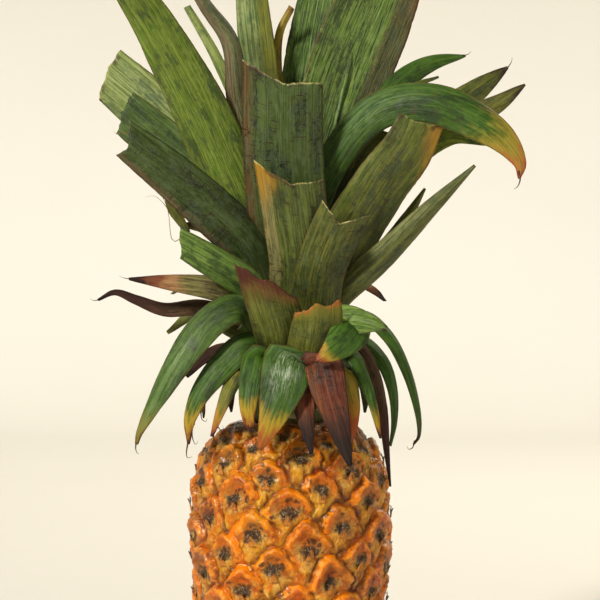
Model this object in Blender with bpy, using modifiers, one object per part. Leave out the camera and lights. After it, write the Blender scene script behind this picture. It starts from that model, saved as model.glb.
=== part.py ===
"""A trimmed pineapple: a ripe orange fruit standing on its flat cut base, with its leafy crown.

Metres, +Z up. The origin is the centre of the flat base, and the photo's camera looks along +Y.
Leaves seen in the photo are placed one by one; those behind come from a golden-angle rule.
"""

import math

import bmesh
import bpy
import numpy as np
from mathutils import Vector

MM = 0.001

# The fruit
FRUIT_PROFILE_MM = (
    (28.0, 150.0), (36.0, 146.0), (44.0, 138.0), (49.0, 128.0), (51.5, 115.0), (52.5, 95.0),
    (52.0, 80.0), (50.0, 58.0), (46.5, 35.0), (40.0, 15.0), (34.0, 4.5), (29.0, 0.0),
)
FRUIT_HEIGHT_MM = 150.0
FRUIT_WIDEST_MM = 52.5
FRUIT_COLUMNS = 55
FRUIT_ROW_MM = 4.9
SCAR_RADIUS_MM = 12.0
SCAR_GROOVE_WIDTH_MM = 1.6
SCAR_GROOVE_DEPTH_MM = 1.6
FLAT_TOP_RADIUS_MM = 20.0
LEVEL_TOLERANCE_MM = 0.01

# The eyes, on a golden-angle spiral
GOLDEN_ANGLE_DEG = 137.508
EYE_ZERO_AZIMUTH_DEG = -91.1
EYE_ZERO_HEIGHT_MM = 107.9
EYE_RISE_MM = 1.354
EYE_PITCH_MM = 21.0
EYE_SHRINK_POWER = 0.6
RELIEF_SINK_MM = 2.2
EYE_DOME_MM = 1.9
EYE_HOOD_MM = 1.4
EYE_PIT_MM = 1.2
EYE_BRACT_MM = 1.0
RELIEF_FADE_MM = 5.0
SPIKE_LOW_MM = 16.0
SPIKE_HIGH_MM = 134.0
SPIKE_LENGTH_MM = 4.2
SPIKE_WIDTH_MM = 4.4
SPIKE_STAND_MM = 1.5
SPIKE_ROOT_MM = 4.5

# The crown
STEM_GAP_MM = 0.3
STEM_PROFILE_MM = (
    (7.5, 246.0), (10.0, 228.0), (14.0, 206.0), (17.5, 186.0), (20.0, 168.0), (21.0, 156.0),
)
STEM_FOOT_RADIUS_MM = 20.0
STEM_COLUMNS = 20
LEAF_EDGE_MM = 0.7
LEAF_MIDDLE_MM = 1.7
LEAF_CLEARANCE_MM = 5.6
SHOULDER_CAP_MM = 9.0
TOWARDS_CAMERA_DEG = -90.0

# The photo's camera, by which a leaf's apparent place is brought to scale for its depth
VIEW_DISTANCE_MM = 1000.0
VIEW_CENTRE_X_MM = 5.0
VIEW_CENTRE_Z_MM = 213.0

# Leaves behind, tier by tier: name, count, half of the sector they fill about straight back, base height
# and its step, lean from upright, droop, length, width and tip share
BACK_TIERS = (
    ("back_low", 8, 72.0, 158.0, 1.4, 76.0, 92.0, 66.0, 20.0, 0.06),
    ("back_mid", 6, 46.0, 186.0, 2.0, 58.0, 50.0, 90.0, 19.0, 0.10),
    ("back_high", 6, 62.0, 208.0, 3.0, 33.0, 16.0, 140.0, 26.0, 0.72),
)
BACK_FIRST_AZIMUTH_DEG = 22.0
BACK_MIDDLE_DEG = 90.0


def to_scale(point):
    """The true place of a point whose x and z were read off the photo, for its depth y."""
    near = (VIEW_DISTANCE_MM + point.y) / VIEW_DISTANCE_MM
    x = VIEW_CENTRE_X_MM + (point.x - VIEW_CENTRE_X_MM) * near
    z = VIEW_CENTRE_Z_MM + (point.z - VIEW_CENTRE_Z_MM) * near
    return Vector((x, point.y, z))


class Leaf:
    """A leaf given by its spine, from base to tip, and the shape of its blade."""

    def __init__(self, name, width, spine, tip=0.06, fold=0.3, face=TOWARDS_CAMERA_DEG, rise=0.0,
                 end=(0.0, 0.0, 0.0), base=0.9, wide=0.35, sections=6, across=5):
        self.name = name
        self.width = width
        self.spine = [to_scale(Vector(p)) for p in spine]
        self.tip = tip
        self.fold = fold
        self.face = face
        self.rise = rise
        self.end = end
        self.base = base
        self.wide = wide
        self.sections = sections
        self.across = across


# Each leaf: name, width, spine points (x, y, z), all in millimetres in the part's frame.
PHOTO_LEAVES = (
    # Tall upper leaves, most of them cut by the photo's top edge
    Leaf("tall_left", 31, [(-7, -3, 222), (-26, -18, 265), (-47, -30, 312), (-69, -42, 353),
                           (-84, -50, 376), (-98, -56, 402)], tip=0.34, fold=0.42, face=-104, base=0.7),
    Leaf("pale_left", 33, [(-8, 8, 226), (-30, 14, 265), (-47, 22, 286), (-73, 34, 312), (-95, 44, 331)],
         tip=0.86, fold=0.22, face=-96, end=(-5, 0, 4), base=0.6),
    Leaf("blue_left", 27, [(-9, 2, 222), (-26, 4, 258), (-39, 6, 271), (-62, 9, 291), (-88, 12, 312)],
         tip=0.85, fold=0.26, face=-98, end=(-3, 0, 3), base=0.7),
    Leaf("dark_left", 25, [(-9, -8, 214), (-21, -18, 240), (-39, -27, 258), (-62, -36, 278), (-88, -44, 298)],
         tip=0.72, fold=0.40, face=-84, end=(-3, -4, 3), base=0.8),
    Leaf("narrow_left", 13, [(-7, -10, 226), (-17, -21, 270), (-27, -26, 315), (-31, -27, 346),
                             (-44, -25, 366), (-60, -20, 390)], tip=0.3, fold=0.5, face=-70),
    Leaf("stripe_middle", 21, [(-5, 6, 240), (-13, 12, 291), (-16, 16, 330), (-20, 20, 369), (-22, 24, 404)],
         tip=0.55, fold=0.3, face=-88, base=0.8),
    Leaf("broad_right", 46, [(6, 4, 236), (18, 12, 290), (30, 22, 330), (46, 32, 369), (64, 42, 408)],
         tip=0.5, fold=-0.22, face=-78, base=0.6, wide=0.6),
    Leaf("broad_inner", 36, [(2, 8, 236), (6, 17, 290), (13, 27, 330), (20, 38, 369), (28, 50, 406)],
         tip=0.55, fold=-0.25, face=-98, base=0.6, wide=0.6),
    Leaf("bud_stub", 5, [(0, 20, 290), (-6, 25, 325), (-6, 26, 350),
                         (1, 25, 366)], tip=0.7, fold=0.2, sections=5,
         across=3),
    # Cut leaves in front
    Leaf("front_cut_high", 41, [(1, -10, 230), (-2, -24, 262), (-4, -34, 297), (-4, -41, 328)],
         tip=0.98, fold=0.26, face=-92, end=(10, -1, -1), base=0.55, sections=5),
    Leaf("front_cut_low", 33, [(4, -14, 200), (6, -30, 230), (3, -40, 254), (0, -47, 275)],
         tip=1.0, fold=0.3, face=-94, end=(13, 0, -1), base=0.7, sections=5),
    Leaf("front_cut_right", 26, [(10, -14, 194), (15, -32, 226), (22, -42, 246), (28, -49, 259)],
         tip=0.95, fold=0.34, face=-80, end=(2, -5, 4), base=0.8, sections=5),
    Leaf("right_orange", 30, [(12, -8, 205), (27, -20, 240), (45, -30, 270), (60, -36, 290), (68, -38, 306)],
         tip=0.8, fold=0.34, face=-74, end=(0, 0, 3), base=0.8),
    Leaf("right_behind", 22, [(9, -4, 222), (24, -8, 258), (38, -11, 286), (52, -13, 300)],
         tip=0.5, fold=0.3, face=-70, end=(-3, 0, 3), base=0.8, sections=5),
    Leaf("torn_left", 27, [(-1, -16, 174), (-5, -35, 196), (-10, -46, 213), (-14, -53, 226)],
         tip=0.9, fold=0.34, face=-96, end=(12, 0, -14), base=0.85, sections=5),
    Leaf("torn_middle", 27, [(9, -16, 170), (12, -38, 188), (14, -48, 203), (14, -52, 212)],
         tip=0.86, fold=0.38, face=-84, end=(-3, 1, 3), base=0.9, sections=5),
    # Right side
    Leaf("arch_right", 21, [(8, -8, 232), (13, -15, 262), (24, -22, 288), (41, -28, 308), (57, -32, 315),
                            (74, -36, 315), (91, -39, 309), (109, -43, 298), (119, -45, 285),
                            (119, -46, 276)],
         tip=0.06, fold=0.3, rise=10, base=0.65, wide=0.68, sections=9),
    Leaf("upper_right_a", 13, [(7, 4, 232), (24, 6, 275), (42, 10, 308), (57, 16, 326), (73, 22, 336),
                               (91, 26, 340)], tip=0.1, fold=0.4, rise=12, wide=0.66),
    Leaf("pale_strip", 7, [(-6, 6, 240), (-22, 10, 300), (-38, 14, 338), (-54, 18, 366)],
         tip=0.55, fold=0.3, sections=4, across=3),
    Leaf("under_arch", 16, [(12, 2, 224), (40, 0, 262), (64, -8, 289), (84, -14, 299), (103, -18, 294)],
         tip=0.1, fold=0.25, rise=10, wide=0.6, sections=5, across=3),
    Leaf("upper_right_b", 9, [(16, 6, 258), (34, 8, 290), (52, 11, 313), (64, 13, 324), (77, 15, 329)],
         tip=0.14, fold=0.4, rise=20, sections=4, across=3),
    Leaf("upper_right_c", 15, [(8, 6, 228), (36, 12, 276), (68, 22, 304), (91, 30, 318), (113, 38, 334)],
         tip=0.1, fold=0.4, rise=10, wide=0.74, sections=5),
    Leaf("upper_right_d", 13, [(9, 2, 226), (40, 4, 277), (73, 8, 300), (104, 10, 313), (122, 11, 325)],
         tip=0.1, fold=0.4, rise=10, wide=0.74, sections=5),
    Leaf("folded_right", 15, [(12, -8, 200), (29, -19, 219), (49, -27, 237), (73, -34, 261), (96, -38, 283)],
         tip=0.1, fold=0.7, face=-66, rise=10, wide=0.3),
    Leaf("small_right", 9, [(28, -14, 221), (49, -18, 240), (60, -18, 255), (70, -18, 271)],
         tip=0.15, fold=0.5, sections=4, across=3),
    Leaf("thin_droop_right", 9, [(12, -4, 196), (36, -9, 204), (50, -11, 195), (60, -12, 177), (66, -12, 156),
                                 (67, -11, 143), (64, -10, 138)],
         tip=0.12, fold=0.35, face=-50, rise=20, sections=7, across=3),
    Leaf("folded_low_right", 24, [(8, -14, 192), (27, -37, 201), (40, -46, 201), (50, -50, 198)],
         tip=0.12, fold=0.55, rise=10, wide=0.25, sections=5),
    Leaf("orange_point", 20, [(34, -38, 202), (30, -46, 195), (22, -52, 187), (13, -54, 181)],
         tip=0.08, fold=0.3, wide=0.25, sections=4),
    # Left side
    Leaf("bright_left", 17, [(-9, -10, 204), (-24, -24, 222), (-39, -32, 232), (-58, -38, 243)],
         tip=0.8, fold=0.34, face=-98, end=(-4, 0, 4), sections=5),
    Leaf("hanging_bit", 8, [(-50, -34, 278), (-60, -31, 271), (-61, -31, 262), (-57, -31, 254),
                            (-53, -31, 248)],
         tip=0.3, fold=0.3, sections=5, across=3),
    Leaf("dry_left_high", 13, [(-8, -4, 214), (-21, -16, 235), (-34, -24, 247), (-46, -26, 251),
                               (-57, -26, 252)],
         tip=0.16, fold=0.3, sections=5, across=3),
    Leaf("dry_left_point", 13, [(-12, -8, 198), (-27, -17, 213), (-40, -20, 219), (-62, -22, 222),
                                (-84, -22, 224)],
         tip=0.1, fold=0.3, rise=15, wide=0.4, sections=5),
    Leaf("curled_left", 9, [(-12, -4, 198), (-27, -8, 204), (-47, -8, 209), (-65, -8, 208), (-80, -7, 213),
                            (-91, -6, 217),
                            (-100, -5, 213)], tip=0.14, fold=0.4, rise=15, sections=7, across=3),
    Leaf("under_left", 10, [(-12, 2, 188), (-30, 5, 198), (-47, 8, 207), (-64, 10, 196)],
         tip=0.2, fold=0.3, rise=20, sections=5, across=3),
    Leaf("big_droop_left", 20, [(-10, -10, 192), (-26, -26, 208), (-42, -34, 201), (-57, -40, 182),
                                (-70, -44, 160), (-78, -46, 145), (-80, -46, 138)],
         tip=0.08, fold=0.34, face=-112, rise=24, wide=0.35, sections=7),
    Leaf("droop_left", 16, [(-8, -13, 178), (-22, -30, 189), (-34, -36, 180), (-45, -40, 167),
                            (-52, -42, 152),
                            (-53, -42, 138)], tip=0.08, fold=0.34, face=-108, rise=20, wide=0.4, sections=7),
    Leaf("brown_bit_left", 9, [(-13, -5, 174), (-30, -10, 186), (-43, -13, 184), (-54, -14, 173)],
         tip=0.2, fold=0.2, rise=10, sections=4, across=3),
    # Low leaves drooping on the fruit
    Leaf("orange_tip_left", 11, [(-11, -13, 170), (-24, -33, 178), (-31, -41, 168), (-36, -45, 156),
                                 (-41, -46, 142)],
         tip=0.14, fold=0.25, face=-116, wide=0.3, sections=6),
    Leaf("green_yellow_left", 15, [(-6, -15, 174), (-16, -38, 183), (-20, -48, 172), (-22, -53, 158),
                                   (-21, -54, 146)],
         tip=0.3, fold=0.25, face=-104, wide=0.4, sections=6),
    Leaf("bloom_middle", 27, [(2, -15, 172), (0, -42, 181), (-4, -52, 168), (-9, -57, 153), (-16, -57, 135)],
         tip=0.08, fold=0.22, face=-94, wide=0.35, sections=7),
    Leaf("purple_left", 13, [(3, -15, 164), (5, -40, 171), (7, -50, 158), (9, -54, 145), (11, -54, 133)],
         tip=0.14, fold=0.25, face=-86, wide=0.45, sections=6, across=3),
    Leaf("purple_middle", 20, [(8, -14, 168), (16, -42, 180), (20, -52, 166), (25, -57, 148), (31, -56, 127)],
         tip=0.12, fold=0.22, face=-78, wide=0.4, sections=7),
    Leaf("orange_middle", 13, [(11, -12, 165), (26, -34, 172), (31, -43, 160), (32, -47, 148),
                               (31, -48, 138)],
         tip=0.14, fold=0.25, face=-72, wide=0.45, sections=6, across=3),
    Leaf("right_strip_a", 9, [(14, -10, 172), (30, -27, 184), (37, -33, 174), (43, -37, 158), (47, -38, 141)],
         tip=0.14, fold=0.3, face=-60, sections=6, across=3),
    Leaf("right_strip_b", 7, [(16, -5, 176), (34, -18, 188), (43, -23, 176), (48, -27, 156), (50, -29, 135),
                              (52, -30, 116)], tip=0.12, fold=0.35, face=-64, sections=7, across=3),
    Leaf("right_strip_c", 9, [(16, -1, 172), (34, -8, 190), (47, -14, 182), (53, -17, 167), (54, -18, 150),
                              (52, -18, 137)], tip=0.14, fold=0.3, face=-56, sections=7, across=3),

    # Short drooping leaves at the sides, hidden in the photo
    Leaf("side_droop_left", 18, [(-12, -2, 158), (-23, -3, 169), (-34, -4, 173), (-44, -5, 168),
                                 (-49, -5, 158), (-50, -5, 148)], tip=0.1, face=184, sections=4, across=3),
    Leaf("side_droop_right", 18, [(12, 1, 158), (23, 1, 169), (34, 1, 173), (44, 0, 168), (49, 0, 158),
                                  (50, 0, 148)], tip=0.1, face=0, sections=4, across=3),
)


def clean_scene():
    """Removes whatever a new scene starts with."""
    for thing in list(bpy.data.objects):
        bpy.data.objects.remove(thing, do_unlink=True)


def collection_named(name, cutter=False):
    """A new collection linked to the scene; a cutter collection stays out of renders."""
    made = bpy.data.collections.new(name)
    bpy.context.scene.collection.children.link(made)
    made.hide_render = cutter
    return made


def material_named(name, colour, roughness):
    """A Principled material of one plain colour."""
    made = bpy.data.materials.new(name)
    made.use_nodes = True
    shader = next(n for n in made.node_tree.nodes if n.type == "BSDF_PRINCIPLED")
    shader.inputs["Base Color"].default_value = (*colour, 1.0)
    shader.inputs["Roughness"].default_value = roughness
    return made


def mesh_object(name, points_mm, faces, home):
    """An object made of points in millimetres and faces, linked to the collection home."""
    mesh = bpy.data.meshes.new(name)
    mesh.from_pydata([tuple(c * MM for c in p) for p in points_mm], [], faces)
    mesh.update()
    made = bpy.data.objects.new(name, mesh)
    home.objects.link(made)
    return made


def apply_modifiers(thing):
    """Replaces the object's mesh by the result of its modifiers."""
    graph = bpy.context.evaluated_depsgraph_get()
    graph.update()
    result = bpy.data.meshes.new_from_object(thing.evaluated_get(graph))
    thing.modifiers.clear()
    thing.data = result


def screwed(name, profile_mm, columns, home):
    """A closed body turned from a profile that runs from the top of the axis to its bottom."""
    points = [(r, 0.0, z) for r, z in profile_mm]
    edges = [(i, i + 1) for i in range(len(points) - 1)]
    mesh = bpy.data.meshes.new(name)
    mesh.from_pydata([tuple(c * MM for c in p) for p in points], edges, [])
    made = bpy.data.objects.new(name, mesh)
    home.objects.link(made)
    screw = made.modifiers.new("turn", "SCREW")
    screw.steps = columns
    screw.render_steps = columns
    screw.use_merge_vertices = True
    screw.merge_threshold = 0.00001
    apply_modifiers(made)
    return made


def smooth_profile(profile, step):
    """The profile resampled every step millimetres along a Catmull-Rom curve through its points."""
    ends = [profile[0], *profile, profile[-1]]
    dense = []
    for a, b, c, d in zip(ends, ends[1:], ends[2:], ends[3:]):
        for k in range(20):
            t = k / 20
            dense.append(tuple(
                0.5 * (2 * b[i] + (c[i] - a[i]) * t + (2 * a[i] - 5 * b[i] + 4 * c[i] - d[i]) * t * t
                       + (3 * b[i] - a[i] - 3 * c[i] + d[i]) * t ** 3)
                for i in range(2)))
    dense.append(profile[-1])
    dense = np.array(dense)
    along = np.concatenate([[0.0], np.cumsum(np.hypot(*np.diff(dense, axis=0).T))])
    count = max(2, round(along[-1] / step))
    wanted = np.linspace(0.0, along[-1], count + 1)
    return np.stack([np.interp(wanted, along, dense[:, i]) for i in range(2)], axis=1)


class FruitSkin:
    """The fruit's outline and the heights of the eyes over it, in millimetres."""

    def __init__(self):
        fine = smooth_profile(FRUIT_PROFILE_MM, 0.5)[::-1]
        self.radius = fine[:, 0]
        self.height = fine[:, 1]
        step = np.hypot(np.gradient(self.radius), np.gradient(self.height))
        size = (self.radius / FRUIT_WIDEST_MM) ** EYE_SHRINK_POWER
        turn = np.cumsum(step / (EYE_RISE_MM * size))
        zero = np.interp(EYE_ZERO_HEIGHT_MM, self.height, turn)
        self.index = turn - zero

    def radius_at(self, z):
        """The outline's radius at a height."""
        return np.interp(z, self.height, self.radius)

    def eye_index(self, z):
        """The count of eyes along the spiral, as a real number, at a height."""
        return np.interp(z, self.height, self.index)

    def eye_height(self, n):
        """The height of eye n."""
        return float(np.interp(n, self.index, self.height))

    @staticmethod
    def eye_azimuth(n):
        """The azimuth of eye n, in radians."""
        return math.radians(EYE_ZERO_AZIMUTH_DEG + GOLDEN_ANGLE_DEG * n)

    def local(self, x, y, z):
        """Each point's place in its nearest eye (right, up, in eye pitches) and its closeness to the seam."""
        azimuth = np.arctan2(y, x)
        radius = self.radius_at(z)
        size = radius / FRUIT_WIDEST_MM
        index = self.eye_index(z)
        rise = EYE_RISE_MM * size ** EYE_SHRINK_POWER
        first = np.full(x.shape, 1e9)
        second = np.full(x.shape, 1e9)
        right = np.zeros(x.shape)
        up = np.zeros(x.shape)
        for offset in range(-30, 31):
            n = np.floor(index) + offset
            turn = azimuth - np.radians(EYE_ZERO_AZIMUTH_DEG + GOLDEN_ANGLE_DEG * n)
            turn = (turn + math.pi) % (2 * math.pi) - math.pi
            a = radius * turn / (EYE_PITCH_MM * size ** EYE_SHRINK_POWER)
            b = (index - n) * rise / (EYE_PITCH_MM * size ** EYE_SHRINK_POWER)
            far = np.hypot(a, b)
            closer = far < first
            second = np.where(closer, first, np.minimum(second, far))
            right = np.where(closer, a, right)
            up = np.where(closer, b, up)
            first = np.where(closer, far, first)
        return right, up, second - first

    def relief(self, x, y, z):
        """How far the skin stands out from the sunken outline at each point."""
        right, up, seam = self.local(x, y, z)
        dome = EYE_DOME_MM * np.clip(seam / 0.42, 0.0, 1.0) ** 0.6
        ring = np.hypot(right, up - 0.02)
        upper = np.clip(0.5 + 0.5 * (up + 0.04) / np.maximum(ring, 1e-6), 0.0, 1.0)
        hood = EYE_HOOD_MM * np.exp(-((ring - 0.27) / 0.11) ** 2) * upper
        pit = EYE_PIT_MM * np.exp(-((ring) / 0.13) ** 2)
        bract = EYE_BRACT_MM * np.exp(-(right / 0.09) ** 2) * np.exp(-((up + 0.2) / 0.16) ** 2)
        fade = np.clip(np.minimum(z, FRUIT_HEIGHT_MM - z) / RELIEF_FADE_MM, 0.0, 1.0)
        return fade * (dome + hood - pit + bract - RELIEF_SINK_MM)


def build_fruit(skin, home):
    """The fruit with its eyes raised by the relief formula and the bract tips joined on."""
    side = smooth_profile(FRUIT_PROFILE_MM, FRUIT_ROW_MM)
    groove_out = SCAR_RADIUS_MM + SCAR_GROOVE_WIDTH_MM
    groove_middle = SCAR_RADIUS_MM + SCAR_GROOVE_WIDTH_MM / 2
    base = ((groove_out, 0.0), (groove_middle, SCAR_GROOVE_DEPTH_MM), (SCAR_RADIUS_MM, 0.0))
    top = ((0.0, FRUIT_HEIGHT_MM), (side[0][0] / 2, FRUIT_HEIGHT_MM))
    profile = [*top, *[tuple(p) for p in side], *base, (0.0, 0.0)]
    fruit = screwed("fruit", profile, FRUIT_COLUMNS, home)
    mesh = fruit.data
    count = len(mesh.vertices)
    points = np.empty(count * 3)
    mesh.vertices.foreach_get("co", points)
    points = points.reshape(-1, 3) / MM
    normals = np.empty(count * 3)
    mesh.vertices.foreach_get("normal", normals)
    normals = normals.reshape(-1, 3)
    level = (points[:, 2] < LEVEL_TOLERANCE_MM) | (points[:, 2] > FRUIT_HEIGHT_MM - LEVEL_TOLERANCE_MM)
    flat = level | (np.hypot(points[:, 0], points[:, 1]) < FLAT_TOP_RADIUS_MM)
    heights = np.where(flat, 0.0, skin.relief(points[:, 0], points[:, 1], points[:, 2]))
    points = points + normals * heights[:, None]
    mesh.vertices.foreach_set("co", (points * MM).ravel())
    mesh.update()
    spikes = collection_named("bract tips", cutter=True)
    for n in range(round(skin.eye_index(SPIKE_LOW_MM)), round(skin.eye_index(SPIKE_HIGH_MM)) + 1):
        add_spike(skin, n, spikes)
    join_collection(fruit, spikes, "EXACT")
    return fruit


def add_spike(skin, n, home):
    """The pointed bract tip of eye n: a small blade that rises below the eye's middle and leans outward."""
    rng = np.random.default_rng(1000 + n)
    azimuth = skin.eye_azimuth(n)
    z = skin.eye_height(n)
    size = (skin.radius_at(z) / FRUIT_WIDEST_MM) ** EYE_SHRINK_POWER
    low = z - 3.4 * size
    outward = Vector((math.cos(azimuth), math.sin(azimuth), 0.0))
    sideways = Vector((-outward.y, outward.x, 0.0))
    upward = Vector((0.0, 0.0, 1.0))
    foot = outward * float(skin.radius_at(low)) + upward * low
    length = SPIKE_LENGTH_MM * size * rng.uniform(0.8, 1.15)
    lean = sideways * rng.uniform(-0.8, 0.8)
    top = foot + outward * (SPIKE_STAND_MM * rng.uniform(0.5, 1.0)) + upward * length + lean
    half = SPIKE_WIDTH_MM * size / 2
    points = [
        foot - sideways * half - outward * SPIKE_ROOT_MM, foot + outward * 0.9,
        foot + sideways * half - outward * SPIKE_ROOT_MM,
        top - sideways * 0.4 - outward * 0.5, top + outward * 0.3, top + sideways * 0.4 - outward * 0.5,
    ]
    faces = [(0, 1, 4, 3), (1, 2, 5, 4), (2, 0, 3, 5), (3, 4, 5), (2, 1, 0)]
    mesh_object(f"bract_{n}", points, faces, home)


def join_collection(body, parts, solver):
    """Unions every object of the collection with the body and then removes them and the collection."""
    union = body.modifiers.new("union", "BOOLEAN")
    union.operation = "UNION"
    union.operand_type = "COLLECTION"
    union.collection = parts
    union.solver = solver
    apply_modifiers(body)
    for thing in list(parts.objects):
        bpy.data.objects.remove(thing, do_unlink=True)
    bpy.data.collections.remove(parts)
    keep_main_body(body)


def keep_main_body(thing):
    """Keeps the one outer body: sealed hollows are filled, loose scraps dropped and tiny edges merged."""
    mesh = bmesh.new()
    mesh.from_mesh(thing.data)
    bmesh.ops.triangulate(mesh, faces=mesh.faces[:])
    left = set(mesh.faces)
    islands = []
    while left:
        queue = [left.pop()]
        island = list(queue)
        while queue:
            for edge in queue.pop().edges:
                for face in edge.link_faces:
                    if face in left:
                        left.remove(face)
                        queue.append(face)
                        island.append(face)
        islands.append(island)
    islands.sort(key=len, reverse=True)
    for island in islands[1:]:
        bmesh.ops.delete(mesh, geom=island, context="FACES")
    loose = [v for v in mesh.verts if not v.link_faces]
    bmesh.ops.delete(mesh, geom=loose, context="VERTS")
    mesh.to_mesh(thing.data)
    mesh.free()
    thing.data.update()


def curve_points(spine, count):
    """count + 1 points spaced evenly along a Catmull-Rom curve through the spine, with their tangents."""
    ends = [spine[0] * 2 - spine[1], *spine, spine[-1] * 2 - spine[-2]]
    dense = []
    for a, b, c, d in zip(ends, ends[1:], ends[2:], ends[3:]):
        for k in range(16):
            t = k / 16
            dense.append(0.5 * (2 * b + (c - a) * t + (2 * a - 5 * b + 4 * c - d) * t * t
                                + (3 * b - a - 3 * c + d) * t ** 3))
    dense.append(spine[-1])
    flat = np.array([tuple(p) for p in dense])
    along = np.concatenate([[0.0], np.cumsum(np.linalg.norm(np.diff(flat, axis=0), axis=1))])
    wanted = np.linspace(0.0, along[-1], count + 1)
    points = np.stack([np.interp(wanted, along, flat[:, i]) for i in range(3)], axis=1)
    tangents = np.gradient(points, axis=0)
    tangents /= np.linalg.norm(tangents, axis=1)[:, None]
    return points, tangents


def width_share(leaf, t):
    """The blade's width at t along the leaf, as a share of its widest."""
    if t < leaf.wide:
        s = t / leaf.wide
        return leaf.base + (1.0 - leaf.base) * s * s * (3 - 2 * s)
    s = (t - leaf.wide) / (1.0 - leaf.wide)
    power = 1.6 if leaf.tip < 0.5 and leaf.wide < 0.6 else 2.2
    return leaf.tip + (1.0 - leaf.tip) * (1.0 - s ** power)


def kept_clear(point, skin):
    """The point moved outward, where it must be, so that the leaf stays clear of the fruit's shoulder."""
    x, y, z = point
    if z <= FRUIT_HEIGHT_MM:
        needed = float(skin.radius_at(max(z, 0.0))) + LEAF_CLEARANCE_MM
    else:
        over = (z - FRUIT_HEIGHT_MM) / SHOULDER_CAP_MM
        if over >= 1.0:
            return point
        needed = (float(skin.radius_at(FRUIT_HEIGHT_MM)) + LEAF_CLEARANCE_MM) * math.sqrt(1.0 - over * over)
    radius = math.hypot(x, y)
    if radius >= needed:
        return point
    return np.array((x * needed / radius, y * needed / radius, z))


def add_leaf(leaf, skin, home):
    """A closed loft along the leaf's spine, folded along its middle, thin at the edges."""
    points, tangents = curve_points(leaf.spine, leaf.sections)
    turn = math.radians(leaf.face)
    lift = math.radians(leaf.rise)
    toward = np.array((math.cos(turn) * math.cos(lift), math.sin(turn) * math.cos(lift), math.sin(lift)))
    across = np.linspace(-1.0, 1.0, leaf.across)
    ring = 2 * leaf.across
    body = []
    for k, (centre, along) in enumerate(zip(points, tangents)):
        t = k / leaf.sections
        side = np.cross(along, toward)
        side /= np.linalg.norm(side)
        normal = np.cross(side, along)
        half = max(leaf.width * width_share(leaf, t) / 2, 0.5)
        fold = leaf.fold * (1.0 - 0.35 * t)
        thick = LEAF_MIDDLE_MM * (1.0 - 0.35 * t)
        front = []
        back = []
        for u in across:
            bend = fold * half * (1.0 - abs(u) ** 1.5)
            reach = np.interp(u, (-1.0, 0.0, 1.0), leaf.end) * max(0.0, (t - 0.6) / 0.4)
            place = centre + side * half * u + normal * bend + along * reach
            place = kept_clear(place, skin)
            deep = max(LEAF_EDGE_MM, thick * (1.0 - 0.6 * abs(u))) / 2
            front.append(place + normal * deep)
            back.append(place - normal * deep)
        body.extend(front + back[::-1])
    faces = []
    for k in range(leaf.sections):
        start = k * ring
        for j in range(ring):
            i = (j + 1) % ring
            near, beside = start + j, start + i
            far, far_beside = start + ring + j, start + ring + i
            # Both faces of the blade are split along the same diagonal
            if j < leaf.across:
                faces.extend([(near, beside, far_beside), (near, far_beside, far)])
            else:
                faces.extend([(near, beside, far), (beside, far_beside, far)])
    for j in range(leaf.across - 1):
        last = leaf.sections * ring
        mirror = ring - 1 - j
        faces.append((j, mirror, mirror - 1, j + 1))
        faces.append((last + j, last + j + 1, last + mirror - 1, last + mirror))
    made = mesh_object(leaf.name, body, faces, home)
    fix_outward(made)
    return made


def fix_outward(thing):
    """Turns the faces so that the body's normals point outward."""
    mesh = bmesh.new()
    mesh.from_mesh(thing.data)
    bmesh.ops.triangulate(mesh, faces=mesh.faces[:])
    bmesh.ops.recalc_face_normals(mesh, faces=mesh.faces[:])
    if mesh.calc_volume(signed=True) < 0:
        bmesh.ops.reverse_faces(mesh, faces=mesh.faces[:])
    mesh.to_mesh(thing.data)
    mesh.free()


def back_leaves():
    """The leaves that the photo hides, set round the back by the golden angle."""
    made = []
    step = 0
    for name, count, sector, low, climb, lean, droop, length, width, tip in BACK_TIERS:
        placed = 0
        while placed < count:
            azimuth = (BACK_FIRST_AZIMUTH_DEG + GOLDEN_ANGLE_DEG * step) % 360.0
            step += 1
            if abs(azimuth - BACK_MIDDLE_DEG) > sector:
                continue
            rng = np.random.default_rng(step)
            outward = Vector((math.cos(math.radians(azimuth)), math.sin(math.radians(azimuth)), 0.0))
            root = low + climb * placed
            reach = length * rng.uniform(0.86, 1.1)
            point = outward * 12.0 + Vector((0.0, 0.0, root))
            spine = [point]
            for k in range(5):
                angle = math.radians(lean - 0.5 * droop + droop * k / 2.5 + rng.uniform(-4.0, 4.0))
                heading = outward * math.sin(angle) + Vector((0.0, 0.0, 1.0)) * math.cos(angle)
                point = point + heading * reach / 5
                spine.append(point)
            end = (rng.uniform(-4, 4), 0.0, rng.uniform(-4, 4)) if tip > 0.5 else (0.0, 0.0, 0.0)
            made.append(Leaf(f"{name}_{placed}", width * rng.uniform(0.85, 1.1), spine, tip=tip, fold=0.3,
                             face=azimuth, rise=0.0, end=end, base=1.0, sections=5, across=3))
            placed += 1
    return made


def build_crown(skin, home):
    """The crown: a short stem with every leaf joined to it as one body."""
    foot = FRUIT_HEIGHT_MM + STEM_GAP_MM
    profile = [(0.0, STEM_PROFILE_MM[0][1]), *STEM_PROFILE_MM, (STEM_FOOT_RADIUS_MM, foot), (0.0, foot)]
    crown = screwed("crown", profile, STEM_COLUMNS, home)
    leaves = collection_named("leaves", cutter=True)
    for leaf in [*PHOTO_LEAVES, *back_leaves()]:
        add_leaf(leaf, skin, leaves)
    join_collection(crown, leaves, "MANIFOLD")
    return crown


def shade_smooth(thing, angle_deg):
    """Smooth shading with edges sharper than the angle kept crisp."""
    thing.data.shade_smooth()
    mesh = bmesh.new()
    mesh.from_mesh(thing.data)
    for edge in mesh.edges:
        if len(edge.link_faces) == 2 and edge.calc_face_angle(0.0) > math.radians(angle_deg):
            edge.smooth = False
    mesh.to_mesh(thing.data)
    mesh.free()


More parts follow.
